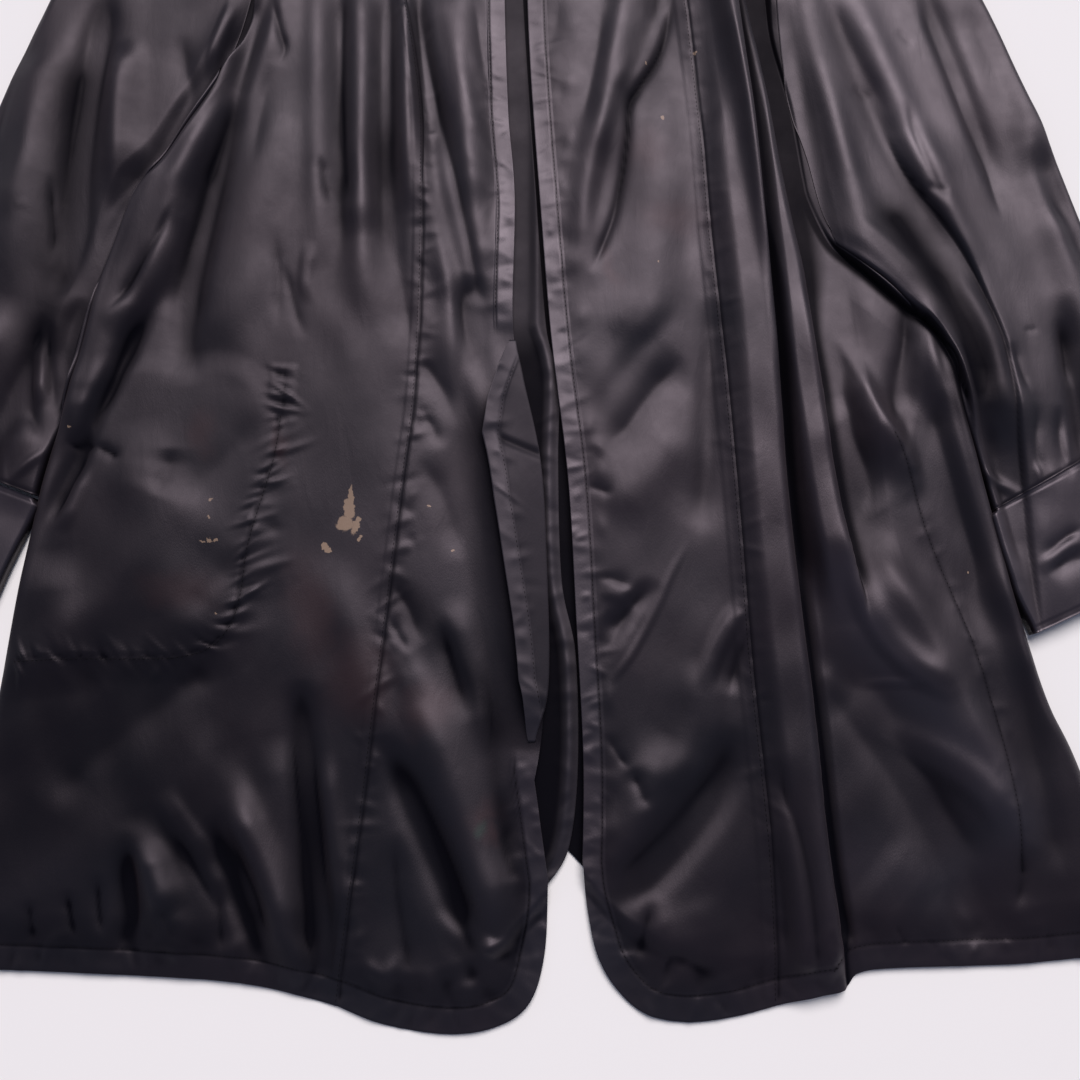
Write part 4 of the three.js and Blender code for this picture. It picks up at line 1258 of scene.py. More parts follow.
    def left_back(self, x: Array, y: Array) -> Array:
        """Gives the left back's height: it laps over the right one below the top of the vent."""
        edge = self.inside_vent(x, y)
        lap = smooth((VENT_LAP - edge + VENT_RISE) / VENT_RISE)
        low = smooth((60 - y) / 60)
        band = 0.6 * smooth((12 - edge) / 1.5) * low
        waves = 0.8 * gathers(y + 400, edge - 6, 9.0, 7.0, 33) * low
        swell = 3.6 * np.exp(-(((edge - 6) / 4.0) ** 2)) * smooth((y + 320) / 60)
        shown = smooth((x + 60) / 30)
        layer = blend(FLOOR_LAYER, SECOND_LAYER, lap * smooth((120 - y) / 50))
        return layer + (band + waves + swell) * shown

    def right_back(self, x: Array, y: Array) -> Array:
        """Gives the right back's height: flat on the floor, with a few low waves where it shows."""
        shown = smooth((60 - np.abs(x - 12)) / 30)
        tucked = 0.5 * smooth((y + 80) / 80) * smooth((BACK_SEAM.x_at(y) + 3 - x) / 3)
        return FLOOR_LAYER + 0.35 * (1 + np.sin(y / 9 + x / 7) * np.sin(y / 23)) * shown * 0.5 - tucked


def softened(heights: Array, reach: int) -> Array:
    """Gives a grid of heights averaged over a square of cells around each, twice."""
    for axis in (0, 1, 0, 1):
        pad = [(reach + 1, reach) if i == axis else (0, 0) for i in (0, 1)]
        total = np.cumsum(np.pad(heights, pad, mode="edge"), axis=axis)
        ahead = np.take(total, np.arange(2 * reach + 1, total.shape[axis]), axis=axis)
        behind = np.take(total, np.arange(0, total.shape[axis] - 2 * reach - 1), axis=axis)
        heights = (ahead - behind) / (2 * reach + 1)
    return heights


def hollows(heights: Array) -> Array:
    """Gives painted shade where a place of a grid lies below the cloth around it, and painted highlight on
    ridges.
    """
    close, far = softened(heights, 2) - heights, softened(heights, 6) - heights
    deep = np.maximum(0.8 * smooth(close / HOLLOW_NEAR), smooth(far / HOLLOW_WIDE))
    return deep - RIDGE_HIGHLIGHT * smooth(-far / HOLLOW_WIDE)


def falloff_shade(x: Array, y: Array) -> Array:
    """Gives painted shade that darkens the cloth towards the viewer's left and towards the hem, as the light
    falls off.
    """
    return SHADE_LEFT * smooth((-60 - x) / 220) + SHADE_HEM * smooth((-90 - y) / 170)


def coons(hem: Curve, top: Curve, first: Curve, second: Curve, u: Array, v: Array) -> Array:
    """Fills the patch between four curves.

    It is the sum of the straight blends between hem and top and between the two sides, less the straight
    blend of the four corners.

    Args:
        hem: The curve at v = 0.
        top: The curve at v = 1, run the same way as the hem.
        first: The curve at u = 0.
        second: The curve at u = 1, run the same way as the first.
        u: Shares across, one for each column.
        v: Shares along, one for each row.

    Returns:
        Points, as rows by columns by x and y.
    """
    across, along = u[None, :, None], v[:, None, None]
    low, high = hem.at(u)[None], top.at(u)[None]
    start, end = first.at(v)[:, None], second.at(v)[:, None]
    corners = (1 - across) * ((1 - along) * hem.at(0.0) + along * top.at(0.0)) + across * (
        (1 - along) * hem.at(1.0) + along * top.at(1.0)
    )
    return (1 - along) * low + along * high + (1 - across) * start + across * end - corners


def spaced(*stretches: tuple[float, float, int]) -> Array:
    """Gives shares from one end to the other in stretches, each a start, an end and its count of steps."""
    parts = [np.linspace(start, end, count, endpoint=False) for start, end, count in stretches]
    return np.concatenate([*parts, [stretches[-1][1]]])


def grid_faces(rows: int, columns: int, closed: bool) -> Array:
    """Gives the corners of each cell of a grid, counter-clockwise, with the last column joined if closed."""
    index = np.arange(rows * columns).reshape(rows, columns)
    right = np.roll(index, -1, axis=1)
    cells = columns if closed else columns - 1
    quads = [index[:-1, :cells], right[:-1, :cells], right[1:, :cells], index[1:, :cells]]
    return np.stack(quads, axis=-1).reshape(-1, 4)


def make_piece(
    name: str,
    places: Array,
    faces: Array,
    material: bpy.types.Material,
    hollow: Array | None = None,
) -> bpy.types.Object:
    """Makes an object from arrays.

    Args:
        name: The object's name.
        places: Points in millimetres on the plan, as n by 3.
        faces: Corner indices, as m by 4.
        material: The finish.
        hollow: The painted shade of each point, up to 1 in a fold, below 0 a painted highlight, or None.

    Returns:
        The object, linked to the scene and shaded smooth.
    """
    mesh = bpy.data.meshes.new(name)
    world = (places + np.array([PLACE[0], PLACE[1], 0.0])) * MM
    corners = faces.shape[1]
    mesh.vertices.add(len(world))
    mesh.vertices.foreach_set("co", world.astype(np.float32).ravel())
    mesh.loops.add(faces.size)
    mesh.loops.foreach_set("vertex_index", faces.astype(np.int32).ravel())
    mesh.polygons.add(len(faces))
    mesh.polygons.foreach_set("loop_start", np.arange(0, faces.size, corners, dtype=np.int32))
    mesh.polygons.foreach_set("loop_total", np.full(len(faces), corners, dtype=np.int32))
    mesh.update(calc_edges=True)
    if hollow is not None:
        layer = mesh.attributes.new("hollow", "FLOAT", "POINT")
        layer.data.foreach_set("value", hollow.astype(np.float32).ravel())
    mesh.validate()
    mesh.shade_smooth()
    mesh.materials.append(material)
    piece = bpy.data.objects.new(name, mesh)
    bpy.context.collection.objects.link(piece)
    return piece


def linear(hex_colour: str) -> tuple[float, float, float, float]:
    """Turns an sRGB hex colour such as #1a181b into linear red, green, blue and an alpha of 1."""
    values = [int(hex_colour[i : i + 2], 16) / 255 for i in (1, 3, 5)]
    parts = [v / 12.92 if v <= 0.04045 else ((v + 0.055) / 1.055) ** 2.4 for v in values]
    return (*parts, 1.0)


def add_node(
    tree: bpy.types.NodeTree, kind: str, settings: dict | None = None, links: dict | None = None
) -> bpy.types.Node:
    """Adds a node with its settings and links.

    Args:
        tree: The material's tree.
        kind: The node's type name.
        settings: Properties, or values of input sockets, by name.
        links: Output sockets by the name or number of the input that they feed.

    Returns:
        The node.
    """
    node = tree.nodes.new(kind)
    for key, value in (settings or {}).items():
        if isinstance(key, int) or key in node.inputs:
            node.inputs[key].default_value = value
        else:
            setattr(node, key, value)
    for key, socket in (links or {}).items():
        tree.links.new(socket, node.inputs[key])
    return node


class Side(Enum):
    """Which face of the satin a piece shows."""

    OUTSIDE = "satin_outside"
    INSIDE = "satin_inside"
    BAG = "pocket_cloth"


# Places where the dye has rubbed off, left the cloth or never took: centre and half sizes on the plan
RUBBED = """
  what      x       y       half_x  half_y  turn
  tan       -126.5  -84     1.8     6.5     0
  tan       -127.5  -93     3.6     7       0.2
  tan       -130    -103    5.6     5       0
  tan       -122.5  -104    2.2     6       -0.3
  tan       -120    -113    1.2     2.4     0
  tan       -142.5  -118.5  2.2     2.6     0.4
  tan       -140.5  -121    2.6     1.4     0
  tan       -219    -115    1.5     1.7     0.3
  tan       -223.5  -115.5  1.3     0.9     0
  tan       -215.5  -114.8  1.2     1.2     0.5
  tan       -220    -87     1.2     1.0     0.3
  tan       -220.6  -99     0.9     0.9     0
  tan       -74     -90.5   1.3     1.0     0
  tan       -57.5   -121    1.3     0.9     0
  tan       112     242     1.2     1.6     -0.5
  tan       87      190.5   1.4     1.6     0.4
  tan       76.5    235     0.9     1.3     0
  tan       82      80.5    0.8     1.0     0
  tan       284.5   -135    1.0     1.1     0
  tan       -317.6  -37     0.8     0.8     0
  tan       -212    -163.5  0.6     0.8     0
  rust      76      166     13      18      0.15
  rust      -34     -290    12      9       0.4
  rust      -30     -304    6       8       0.2
  rust      49      76      6       16      0.2
  rust      -176    -48     5       16      0
  rust      92      115     22      14      0
  rust      -150    -160    16      40      0.2
  rust      -118    -205    24      32      0.4
  rust      -72     -222    20      17      0.6
  rust      -236    -148    26      14      0
  rust      -228    -40     9       17      0
  green     -37     -300    4       6       0.3"""


@dataclass(frozen=True)
class Satin:
    """Woven rayon satin, dyed over again in black: smooth floats of thread give it a soft, broad gloss."""

    name: str
    roughness: float
    ior: float
    sheen: float
    float_gloss: float = 0.6
    dye: str = "#0f1014"
    worn: str = "#181317"
    # The deep colour is painted shade, mixed in where the hollow attribute is high
    deep: str = "#08080d"
    rust: str = "#33201f"
    tan: str = "#8f7964"
    green: str = "#223a30"

    def material(self) -> bpy.types.Material:
        """Makes the satin: dye in two drifting tones, worn spots, painted shade, a fine weave and a mauve
        bloom.
        """
        made = bpy.data.materials.new(self.name)
        made.use_nodes = True
        tree = made.node_tree
        shader = tree.nodes["Principled BSDF"]
        place = add_node(tree, "ShaderNodeTexCoord").outputs["Object"]
        colour = self._dye(tree, place)
        wear_and_highlight = read_table(RUBBED)
        for tone, strength in (("rust", 0.5), ("green", 0.5), ("tan", 1.0)):
            rows = [row for row in wear_and_highlight if row["what"] == tone]
            mask = self._spots(tree, place, rows, soft=tone != "tan", strength=strength)
            colour = add_node(
                tree,
                "ShaderNodeMix",
                {"data_type": "RGBA", 7: linear(getattr(self, tone))},
                {0: mask, 6: colour},
            ).outputs[2]
        # Painted shade: the hollow attribute darkens the colour towards the deep colour in folds, grooves,
        # shadows
        depth = add_node(tree, "ShaderNodeAttribute", {"attribute_name": "hollow"}).outputs["Fac"]
        colour = add_node(
            tree, "ShaderNodeMix", {"data_type": "RGBA", 7: linear(self.deep)}, {0: depth, 6: colour}
        ).outputs[2]
        tree.links.new(colour, shader.inputs["Base Color"])
        # Painted shade and highlight in the gloss: weaker specular where hollow is high, stronger below 0
        limits = {"From Min": -1.0, "To Min": 0.9, "To Max": 0.04}
        shine = add_node(tree, "ShaderNodeMapRange", limits, {"Value": depth})
        tree.links.new(shine.outputs["Result"], shader.inputs["Specular IOR Level"])
        self._gloss(tree, place, shader)
        self._bump(tree, place, shader)
        return made

    def _dye(self, tree: bpy.types.NodeTree, place: bpy.types.NodeSocket) -> bpy.types.NodeSocket:
        """Adds the dye: blue-black and brown-black that drift into each other over a hand's breadth."""
        slow = add_node(
            tree, "ShaderNodeTexNoise", {"Scale": 7.0, "Detail": 3.0, "Roughness": 0.55}, {"Vector": place}
        )
        tone = add_node(
            tree, "ShaderNodeMapRange", {"From Min": 0.38, "From Max": 0.66}, {"Value": slow.outputs["Fac"]}
        )
        return add_node(
            tree,
            "ShaderNodeMix",
            {"data_type": "RGBA", 6: linear(self.dye), 7: linear(self.worn)},
            {0: tone.outputs["Result"]},
        ).outputs[2]

    @staticmethod
    def _spots(
        tree: bpy.types.NodeTree, place: bpy.types.NodeSocket, rows: list, soft: bool, strength: float
    ) -> bpy.types.NodeSocket:
        """Adds the mask of a set of spots, ragged by a fine noise.

        Args:
            tree: The material's tree.
            place: The place on the object.
            rows: The spots.
            soft: Whether their edges fade slowly.
            strength: The mask's highest value.

        Returns:
            The mask.
        """
        ragged = add_node(
            tree,
            "ShaderNodeTexNoise",
            {"Scale": 60.0 if soft else 420.0, "Detail": 3.0},
            {"Vector": place},
        )
        size = 0.02 if soft else 0.005
        moved = add_node(
            tree,
            "ShaderNodeVectorMath",
            {"operation": "MULTIPLY_ADD", 1: (size, size, 0.0)},
            {0: ragged.outputs["Color"], 2: place},
        ).outputs[0]
        mask = None
        for row in rows:
            centre = ((row["x"] + PLACE[0]) * MM + size / 2, (row["y"] + PLACE[1]) * MM + size / 2, 0.0)
            scaled = add_node(
                tree,
                "ShaderNodeMapping",
                {
                    "vector_type": "TEXTURE",
                    "Location": centre,
                    "Rotation": (0.0, 0.0, row["turn"]),
                    "Scale": (row["half_x"] * MM, row["half_y"] * MM, 10.0),
                },
                {"Vector": moved},
            )
            away = add_node(
                tree, "ShaderNodeVectorMath", {"operation": "LENGTH"}, {0: scaled.outputs["Vector"]}
            )
            inside = add_node(
                tree,
                "ShaderNodeMapRange",
                {
                    "interpolation_type": "SMOOTHSTEP",
                    "From Min": 1.5 if soft else 1.15,
                    "From Max": 0.1 if soft else 0.9,
                    "To Max": strength,
                },
                {"Value": away.outputs["Value"]},
            )
            if mask is None:
                mask = inside.outputs["Result"]
            else:
                mask = add_node(
                    tree, "ShaderNodeMath", {"operation": "MAXIMUM"}, {0: mask, 1: inside.outputs["Result"]}
                ).outputs[0]
        return mask

    def _gloss(self, tree: bpy.types.NodeTree, place: bpy.types.NodeSocket, shader: bpy.types.Node) -> None:
        """Sets the gloss: broad across the lengthwise floats, duller in slow patches, with a mauve bloom."""
        patches = add_node(
            tree, "ShaderNodeTexNoise", {"Scale": 22.0, "Detail": 4.0, "Roughness": 0.6}, {"Vector": place}
        )
        rough = add_node(
            tree,
            "ShaderNodeMapRange",
            {
                "From Min": 0.3,
                "From Max": 0.7,
                "To Min": self.roughness - 0.06,
                "To Max": self.roughness + 0.08,
            },
            {"Value": patches.outputs["Fac"]},
        )
        tree.links.new(rough.outputs["Result"], shader.inputs["Roughness"])
        shader.inputs["IOR"].default_value = self.ior
        shader.inputs["Specular Tint"].default_value = linear("#f6e8f4")
        across = add_node(tree, "ShaderNodeCombineXYZ", {"X": 1.0})
        tree.links.new(across.outputs["Vector"], shader.inputs["Tangent"])
        shader.inputs["Anisotropic"].default_value = self.float_gloss
        shader.inputs["Sheen Weight"].default_value = self.sheen
        shader.inputs["Sheen Roughness"].default_value = 0.45
        shader.inputs["Sheen Tint"].default_value = linear("#b9a6b6")

    @staticmethod
    def _bump(tree: bpy.types.NodeTree, place: bpy.types.NodeSocket, shader: bpy.types.Node) -> None:
        """Adds the weave, of long floats a third of a millimetre apart, and a faint crinkle."""
        threads = add_node(tree, "ShaderNodeMapping", {"Scale": (2600.0, 700.0, 700.0)}, {"Vector": place})
        weave = add_node(
            tree, "ShaderNodeTexNoise", {"Scale": 1.0, "Detail": 2.0}, {"Vector": threads.outputs["Vector"]}
        )
        stretched = add_node(tree, "ShaderNodeMapping", {"Scale": (95.0, 34.0, 34.0)}, {"Vector": place})
        crinkle = add_node(
            tree,
            "ShaderNodeTexNoise",
            {"Scale": 1.0, "Detail": 4.0, "Roughness": 0.5, "Distortion": 0.6},
            {"Vector": stretched.outputs["Vector"]},
        )
        first = add_node(
            tree, "ShaderNodeBump", {"Strength": 0.5, "Distance": 0.00012}, {"Height": weave.outputs["Fac"]}
        )
        second = add_node(
            tree,
            "ShaderNodeBump",
            {"Strength": 0.13, "Distance": 0.0016},
            {"Height": crinkle.outputs["Fac"], "Normal": first.outputs["Normal"]},
        )
        tree.links.new(second.outputs["Normal"], shader.inputs["Normal"])


@dataclass(frozen=True)
class Thread:
    """Black cotton thread: duller than the satin, so a row of stitches reads as a fine dark line."""

    name: str = "sewing_thread"
    colour: str = "#0b0a0d"

    def material(self) -> bpy.types.Material:
        """Makes the thread, with a fine twist of two plies."""
        made = bpy.data.materials.new(self.name)
        made.use_nodes = True
        tree = made.node_tree
        shader = tree.nodes["Principled BSDF"]
        place = add_node(tree, "ShaderNodeTexCoord").outputs["Object"]
        twist = add_node(tree, "ShaderNodeTexNoise", {"Scale": 3000.0, "Detail": 1.0}, {"Vector": place})
        bump = add_node(
            tree, "ShaderNodeBump", {"Strength": 0.4, "Distance": 0.0001}, {"Height": twist.outputs["Fac"]}
        )
        tree.links.new(bump.outputs["Normal"], shader.inputs["Normal"])
        shader.inputs["Base Color"].default_value = linear(self.colour)
        shader.inputs["Roughness"].default_value = 0.8
        shader.inputs["Specular IOR Level"].default_value = 0.15
        return made


def finish_cloth(piece: bpy.types.Object, node: str, thick: bool = True) -> None:
    """Gives a cloth piece its thickness if asked, hides the frame's node it stands for and attaches it to
    the root.

    Args:
        piece: The cloth.
        node: The frame's node that it stands for.
        thick: Whether its edges are given a thickness by a modifier.
    """
    if thick:
        wall = piece.modifiers.new("wall", "SOLIDIFY")
        wall.thickness = SATIN_THICKNESS * MM
        wall.offset = -1.0
        wall.use_rim_only = True
    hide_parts(node)
    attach(piece, "root")


@dataclass
class Panel:
    """A flat-cut panel between four seams or edges, lying on the layers below it."""

    node: str
    hem: Curve
    top: Curve
    first: Curve
    second: Curve
    columns: Array
    rows: Array
    height: Height
    material: bpy.types.Material
    sheet: dict
    side: Side = Side.OUTSIDE
    border: Border | None = None
    tone: Height | None = None
    shade: Height | None = None
    free_hem: bool = True
    free_edges: tuple[bool, bool] = (False, False)
    sides: tuple[bool, bool] = (False, False)

    def build(self) -> bpy.types.Object:
        plan = coons(self.hem, self.top, self.first, self.second, self.columns, self.rows)
        x, y = plan[..., 0], plan[..., 1]
        grid = np.stack([x, y, self.height(x, y) + SURFACE], axis=-1)
        for end, outward in ((0, -1.0), (1, 1.0)):
            if self.sides[end]:
                grid = self._rolled(grid, end, outward, 0.5, None)
            elif self.free_edges[end]:
                grid = self._rolled(grid, end, outward, 0.35, 0.9)
        if self.free_hem:
            turned = self._rolled(np.swapaxes(grid, 0, 1), 0, -1.0, 0.35, 0.9, axis=1)
            grid = np.swapaxes(turned, 0, 1)
        faces = grid_faces(*grid.shape[:2], False)
        x, y = grid[..., 0], grid[..., 1]
        # Painted shade in folds, grooves, streaks, shadows and towards left and hem; painted highlight on
        # ridges, bands
        hollow = hollows(grid[..., 2]) + falloff_shade(x, y)
        if self.border:
            hollow = hollow - BAND_PAINTED_LIGHT * self.border.share(x, y) + self.tone(x, y)
        if self.shade:
            dark = self.shade(x, y)
            hollow = hollow * (1 - np.clip(dark, 0, 1)) + dark
        piece = make_piece(f"{self.node}_cloth", grid.reshape(-1, 3), faces, self.material, hollow)
        finish_cloth(piece, self.node, thick=False)
        return piece

    @staticmethod
    def _rolled(
        grid: Array, end: int, outward: float, out: float, depth: float | None, axis: int = 0
    ) -> Array:
        """Adds three columns that bend outward and down at one end of a grid.

        Args:
            grid: Points, as rows by columns by x, y and z.
            end: 0 for the first column and 1 for the last.
            outward: The direction of the bend along the axis.
            out: How far it bends out, in millimetres.
            depth: How far it goes down, or None to go down to the floor.
            axis: 0 to bend along X and 1 to bend along Y.

        Returns:
            The longer grid.
        """
        edge = grid[:, -end]
        floor = edge[:, 2] - depth if depth is not None else np.full(len(edge), 0.4)
        extra = []
        for drop, share in ((0.2, 0.8), (0.6, 1.0), (1.0, 0.6)):
            lower = edge.copy()
            lower[:, axis] += outward * out * share
            lower[:, 2] = blend(edge[:, 2], floor, drop)
            extra.append(lower)
        added = np.stack(extra, axis=1)
        return np.concatenate([grid, added] if end else [added[:, ::-1], grid], axis=1)


@dataclass
class Sleeve:
    """A sleeve or cuff laid flat: a tube with its lower side on the floor and the folds on top."""

    node: str
    start: Curve
    end: Curve
    inside: Curve
    outside: Curve
    relief: Relief
    material: bpy.types.Material
    cut: tuple[float, float]
    is_cuff: bool = False
    tuck: float = 5.0
    columns: int = 116
    rows: int = 250

    def build(self) -> bpy.types.Object:
        upper = np.linspace(0, 1, self.columns)
        lower = np.linspace(1, 0, self.columns // 3)[1:-1]
        v = np.linspace(0, 1, self.rows)
        outward = np.sign(self.outside.at(1.0)[0] - self.inside.at(1.0)[0])
        top, bottom = self._layer(upper, v, outward, True), self._layer(lower, v, outward, False)
        grid = np.concatenate([top, bottom], axis=1)
        # Painted light: a painted highlight on a cuff's band, and painted shade in folds, towards left and
        # hem, in streaks
        wear_and_highlight = BAND_PAINTED_LIGHT if self.is_cuff else 0.0
        x, y = top[..., 0], top[..., 1]
        shown = hollows(top[..., 2]) - wear_and_highlight + falloff_shade(x, y) + self.relief.tone(x, y)
        hollow = np.concatenate([shown, np.zeros(bottom.shape[:2])], axis=1)
        if outward < 0:
            grid, hollow = grid[:, ::-1], hollow[:, ::-1]
        faces = grid_faces(*grid.shape[:2], True)
        piece = make_piece(f"{self.node}_cloth", grid.reshape(-1, 3), faces, self.material, hollow)
        finish_cloth(piece, self.node)
        return piece

    def _layer(self, u: Array, v: Array, outward: float, upper: bool) -> Array:
        """Gives one side of the tube as rows by columns by x, y and z."""
        plan = coons(self.start, self.end, self.inside, self.outside, u, v)
        x, y = plan[..., 0], plan[..., 1]
        begun = smooth(v * 16)[:, None]
        x = x - outward * self.tuck * (1 - u)[None] ** 2 * begun * (1 - smooth(v * 3 - 2))[:, None]
        span = blend(self.start.length, self.end.length, v)[:, None]
        from_edge = np.minimum(u / SLEEVE_INNER_ROUNDING, (1 - u) / SLEEVE_ROUNDING)
        rounded = quarter_round(from_edge[None] * span)
        if not upper:
            return np.stack([x, y, blend(SECOND_LAYER, 0.35 + 0 * x, rounded)], axis=-1)
        height = SECOND_LAYER + self.relief.rise(x, y) + SURFACE + self.relief.fine(x, y) + self._sewn(u, v)
        return np.stack([x, y, blend(SECOND_LAYER, height, rounded)], axis=-1)

    def _sewn(self, u: Array, v: Array) -> Array:
        """Gives the gathers above the cuff, or the cuff's stitched borders."""
        around = (u * self.end.length)[None, :]
        length = 0.5 * (self.inside.length + self.outside.length)
        to_end = ((1 - v) * length)[:, None]
        from_start = (v * length)[:, None]
        if not self.is_cuff:
            waves = gathers(around + 0 * to_end, to_end + 0 * around, 10.0, 20.0, 35)
            return 2.0 * waves - 0.8 * np.exp(-((to_end / 1.6) ** 2))
        border = np.minimum(to_end, from_start)
        thick = 0.8 * smooth((to_end + 0.5) / 1.5) * smooth((from_start + 0.5) / 1.5)
        groove = -0.5 * np.exp(-(((border - 3) / 0.9) ** 2))
        waves = 0.9 * gathers(around + 0 * border, border + 0 * around, 9.0, 8.0, 36)
        return thick + groove + waves


@dataclass
class TurnedEdge:
    """The stretch of the left front's edge that is turned back on the front, with its stitched band."""

    relief: Relief
    material: bpy.types.Material
    rows: int = 190
    columns: int = 34
    wrap: int = 6

    def height(self, x: Array, y: Array) -> Array:
        """Gives its height above the floor: on the front, with the free edge standing proud."""
        reach = turned_reach(y)
        from_fold = np.clip(LEFT_EDGE.x_at(y) - x, 0, None)
        to_free = reach - from_fold
        lift = 0.9 + (0.8 + 5.2 * from_fold / reach) * smooth(reach / 16)
        band = 1.0 * smooth((EDGE_BAND - to_free) / 1.2)
        groove = -0.6 * np.exp(-(((to_free - EDGE_BAND + 1.6) / 0.9) ** 2))
        waves = 0.8 * gathers(300 - y, to_free - 6, 7.5, 8.0, 31)
        cross = -1.6 * np.exp(-(((y + 52 + 0.4 * (x + 10)) / 3.0) ** 2)) * smooth((to_free - 9) / 5)
        sewn = (band + groove + waves + cross) * smooth(reach / 12)
        return self.relief.front(x, y) + SURFACE + lift + sewn

    def build(self) -> bpy.types.Object:
        y = np.linspace(26, -246, self.rows)[:, None]
        share = np.linspace(0, 1, self.columns)[None, :]
        x = LEFT_EDGE.x_at(y) - share * turned_reach(y)
        flat = np.broadcast_to(y, x.shape)
        top = np.stack([x, flat, self.height(x, flat)], axis=-1)
        fold = LEFT_EDGE.x_at(y[:, 0])
        low = self.relief.front(fold, y[:, 0]) + SURFACE - 0.3
        high = top[:, 0, 2]
        turned = []
        for angle in np.linspace(0, np.pi, self.wrap, endpoint=False):
            out = fold + 1.5 * math.sin(angle)
            up = blend(low, high, 0.5 - 0.5 * math.cos(angle))
            turned.append(np.stack([out, y[:, 0], up], axis=-1))
        grid = np.concatenate([np.stack(turned, axis=1), top], axis=1)
        faces = grid_faces(*grid.shape[:2], False)
        to_free = grid[..., 0] - LEFT_EDGE.x_at(grid[..., 1]) + turned_reach(grid[..., 1])
        # Painted shade in folds, and a painted highlight on the stitched band
        hollow = 0.9 * hollows(grid[..., 2]) - BAND_PAINTED_LIGHT * smooth((EDGE_BAND - to_free) / 2)
        piece = make_piece("turned_edge_left_cloth", grid.reshape(-1, 3), faces, self.material, hollow)
        finish_cloth(piece, "turned_edge_left")
        return piece


@dataclass
class Stitching:
    """Lines of lockstitch: small raised threads one after the other along curves."""

    material: bpy.types.Material
    pitch: float = 3.1
    length: float = 2.3
    thickness: float = 0.36

    def build(self, name: str, lines: Iterable[tuple[Curve, Height]]) -> bpy.types.Object:
        """Builds all stitches of a set of lines as one piece.

        Args:
            name: The piece's name.
            lines: Curves, each with the height of the cloth's surface below it.

        Returns:
            The piece.
        """
        sets = [self._line(curve, height) for curve, height in lines]
        places = np.concatenate(sets).reshape(-1, 3)
        count = len(places) // 12
        ring = np.array([0, 1, 2, 3])
        ahead = np.roll(ring, -1)
        band = np.stack([ring, ahead, ahead + 4, ring + 4], axis=1)
        one = np.concatenate([band, band + 4, [[3, 2, 1, 0]], [[8, 9, 10, 11]]])
        faces = (one[None] + 12 * np.arange(count)[:, None, None]).reshape(-1, 4)
        piece = make_piece(name, places, faces, self.material)
        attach(piece, "root")
        return piece

    def _line(self, curve: Curve, height: Height) -> Array:
        """Gives the points of the stitches along one curve, as stitches by 12 by x, y and z."""
        starts = np.arange(2.0, curve.length - self.length - 1, self.pitch)
        along = starts[:, None] + np.array([0.0, 0.5, 1.0])[None] * self.length
        middle = curve.at(along / curve.length)
        ahead = middle[:, 2] - middle[:, 0]
        ahead /= np.linalg.norm(ahead, axis=1)[:, None]
        across = np.stack([-ahead[:, 1], ahead[:, 0]], axis=-1)
        half = 0.5 * self.thickness * np.array([0.55, 1.0, 0.55])
        lift = np.array([-0.12, 0.26, -0.12])
        z = height(middle[..., 0], middle[..., 1]) + lift[None]
        corners = []
        for side, up in ((-1, 0), (0, -1), (1, 0), (0, 1)):
            plan = middle + side * half[None, :, None] * across[:, None]
            corners.append(np.concatenate([plan, (z + up * half[None])[..., None]], axis=-1))
        return np.stack(corners, axis=2).reshape(-1, 3)


@dataclass
class Studio:
    """A plain pale floor, soft light from beyond the neck and the right, and the camera above the hem."""

    tilt_degrees: float = 10.5
    camera_height: float = 0.714
    camera_y: float = -0.24245
    lens: float = 36.033

    def build(self) -> None:
        """Places the floor, the lights and the camera."""
        self._floor()
        self._sun("window", tilt=36.0, turn=11.0, width=40.0, strength=3.2)
        world = bpy.data.worlds.new("soft_room")
        bpy.context.scene.world = world
        world.use_nodes = True
        background = world.node_tree.nodes["Background"]
        background.inputs["Color"].default_value = linear("#cdd6f8")
        background.inputs["Strength"].default_value = 0.26
        camera = bpy.data.cameras.new("above_hem")
        camera.lens = self.lens
        camera.sensor_width = 36.0
        holder = bpy.data.objects.new("above_hem", camera)
        holder.location = (PLACE[0] * MM, self.camera_y, self.camera_height)
        holder.rotation_euler = (math.radians(self.tilt_degrees), 0.0, 0.0)
        bpy.context.collection.objects.link(holder)
        bpy.context.scene.camera = holder
        bpy.context.scene.view_settings.view_transform = "Standard"

    @staticmethod
    def _floor() -> None:
        """Lays the floor just under the jacket."""
        half = 3000.0
        corners = np.array([[-half, -half, 0], [half, -half, 0], [half, half, 0], [-half, half, 0]])
        made = bpy.data.materials.new("painted_floor")
        made.use_nodes = True
        shader = made.node_tree.nodes["Principled BSDF"]
        shader.inputs["Base Color"].default_value = linear("#eeedea")
        shader.inputs["Roughness"].default_value = 0.7
        floor = make_piece("studio_floor", corners, np.array([[0, 1, 2, 3]]), made)

    @staticmethod
    def _sun(name: str, tilt: float, turn: float, width: float, strength: float) -> None:
        """Adds one broad, soft light from far off.

        Args:
            name: Its name.
            tilt: Degrees from straight overhead.
            turn: Degrees from the neck's side towards the right.
            width: How wide it looks, in degrees.
            strength: Its power.
        """
        lamp = bpy.data.lights.new(name, "SUN")
        lamp.angle = math.radians(width)
        lamp.energy = strength
        lamp.color = linear("#fff7f8")[:3]
        holder = bpy.data.objects.new(name, lamp)
        holder.rotation_euler = (-math.radians(tilt), 0.0, -math.radians(turn))
        holder.location = (0.0, 1.0, 2.0)
        bpy.context.collection.objects.link(holder)


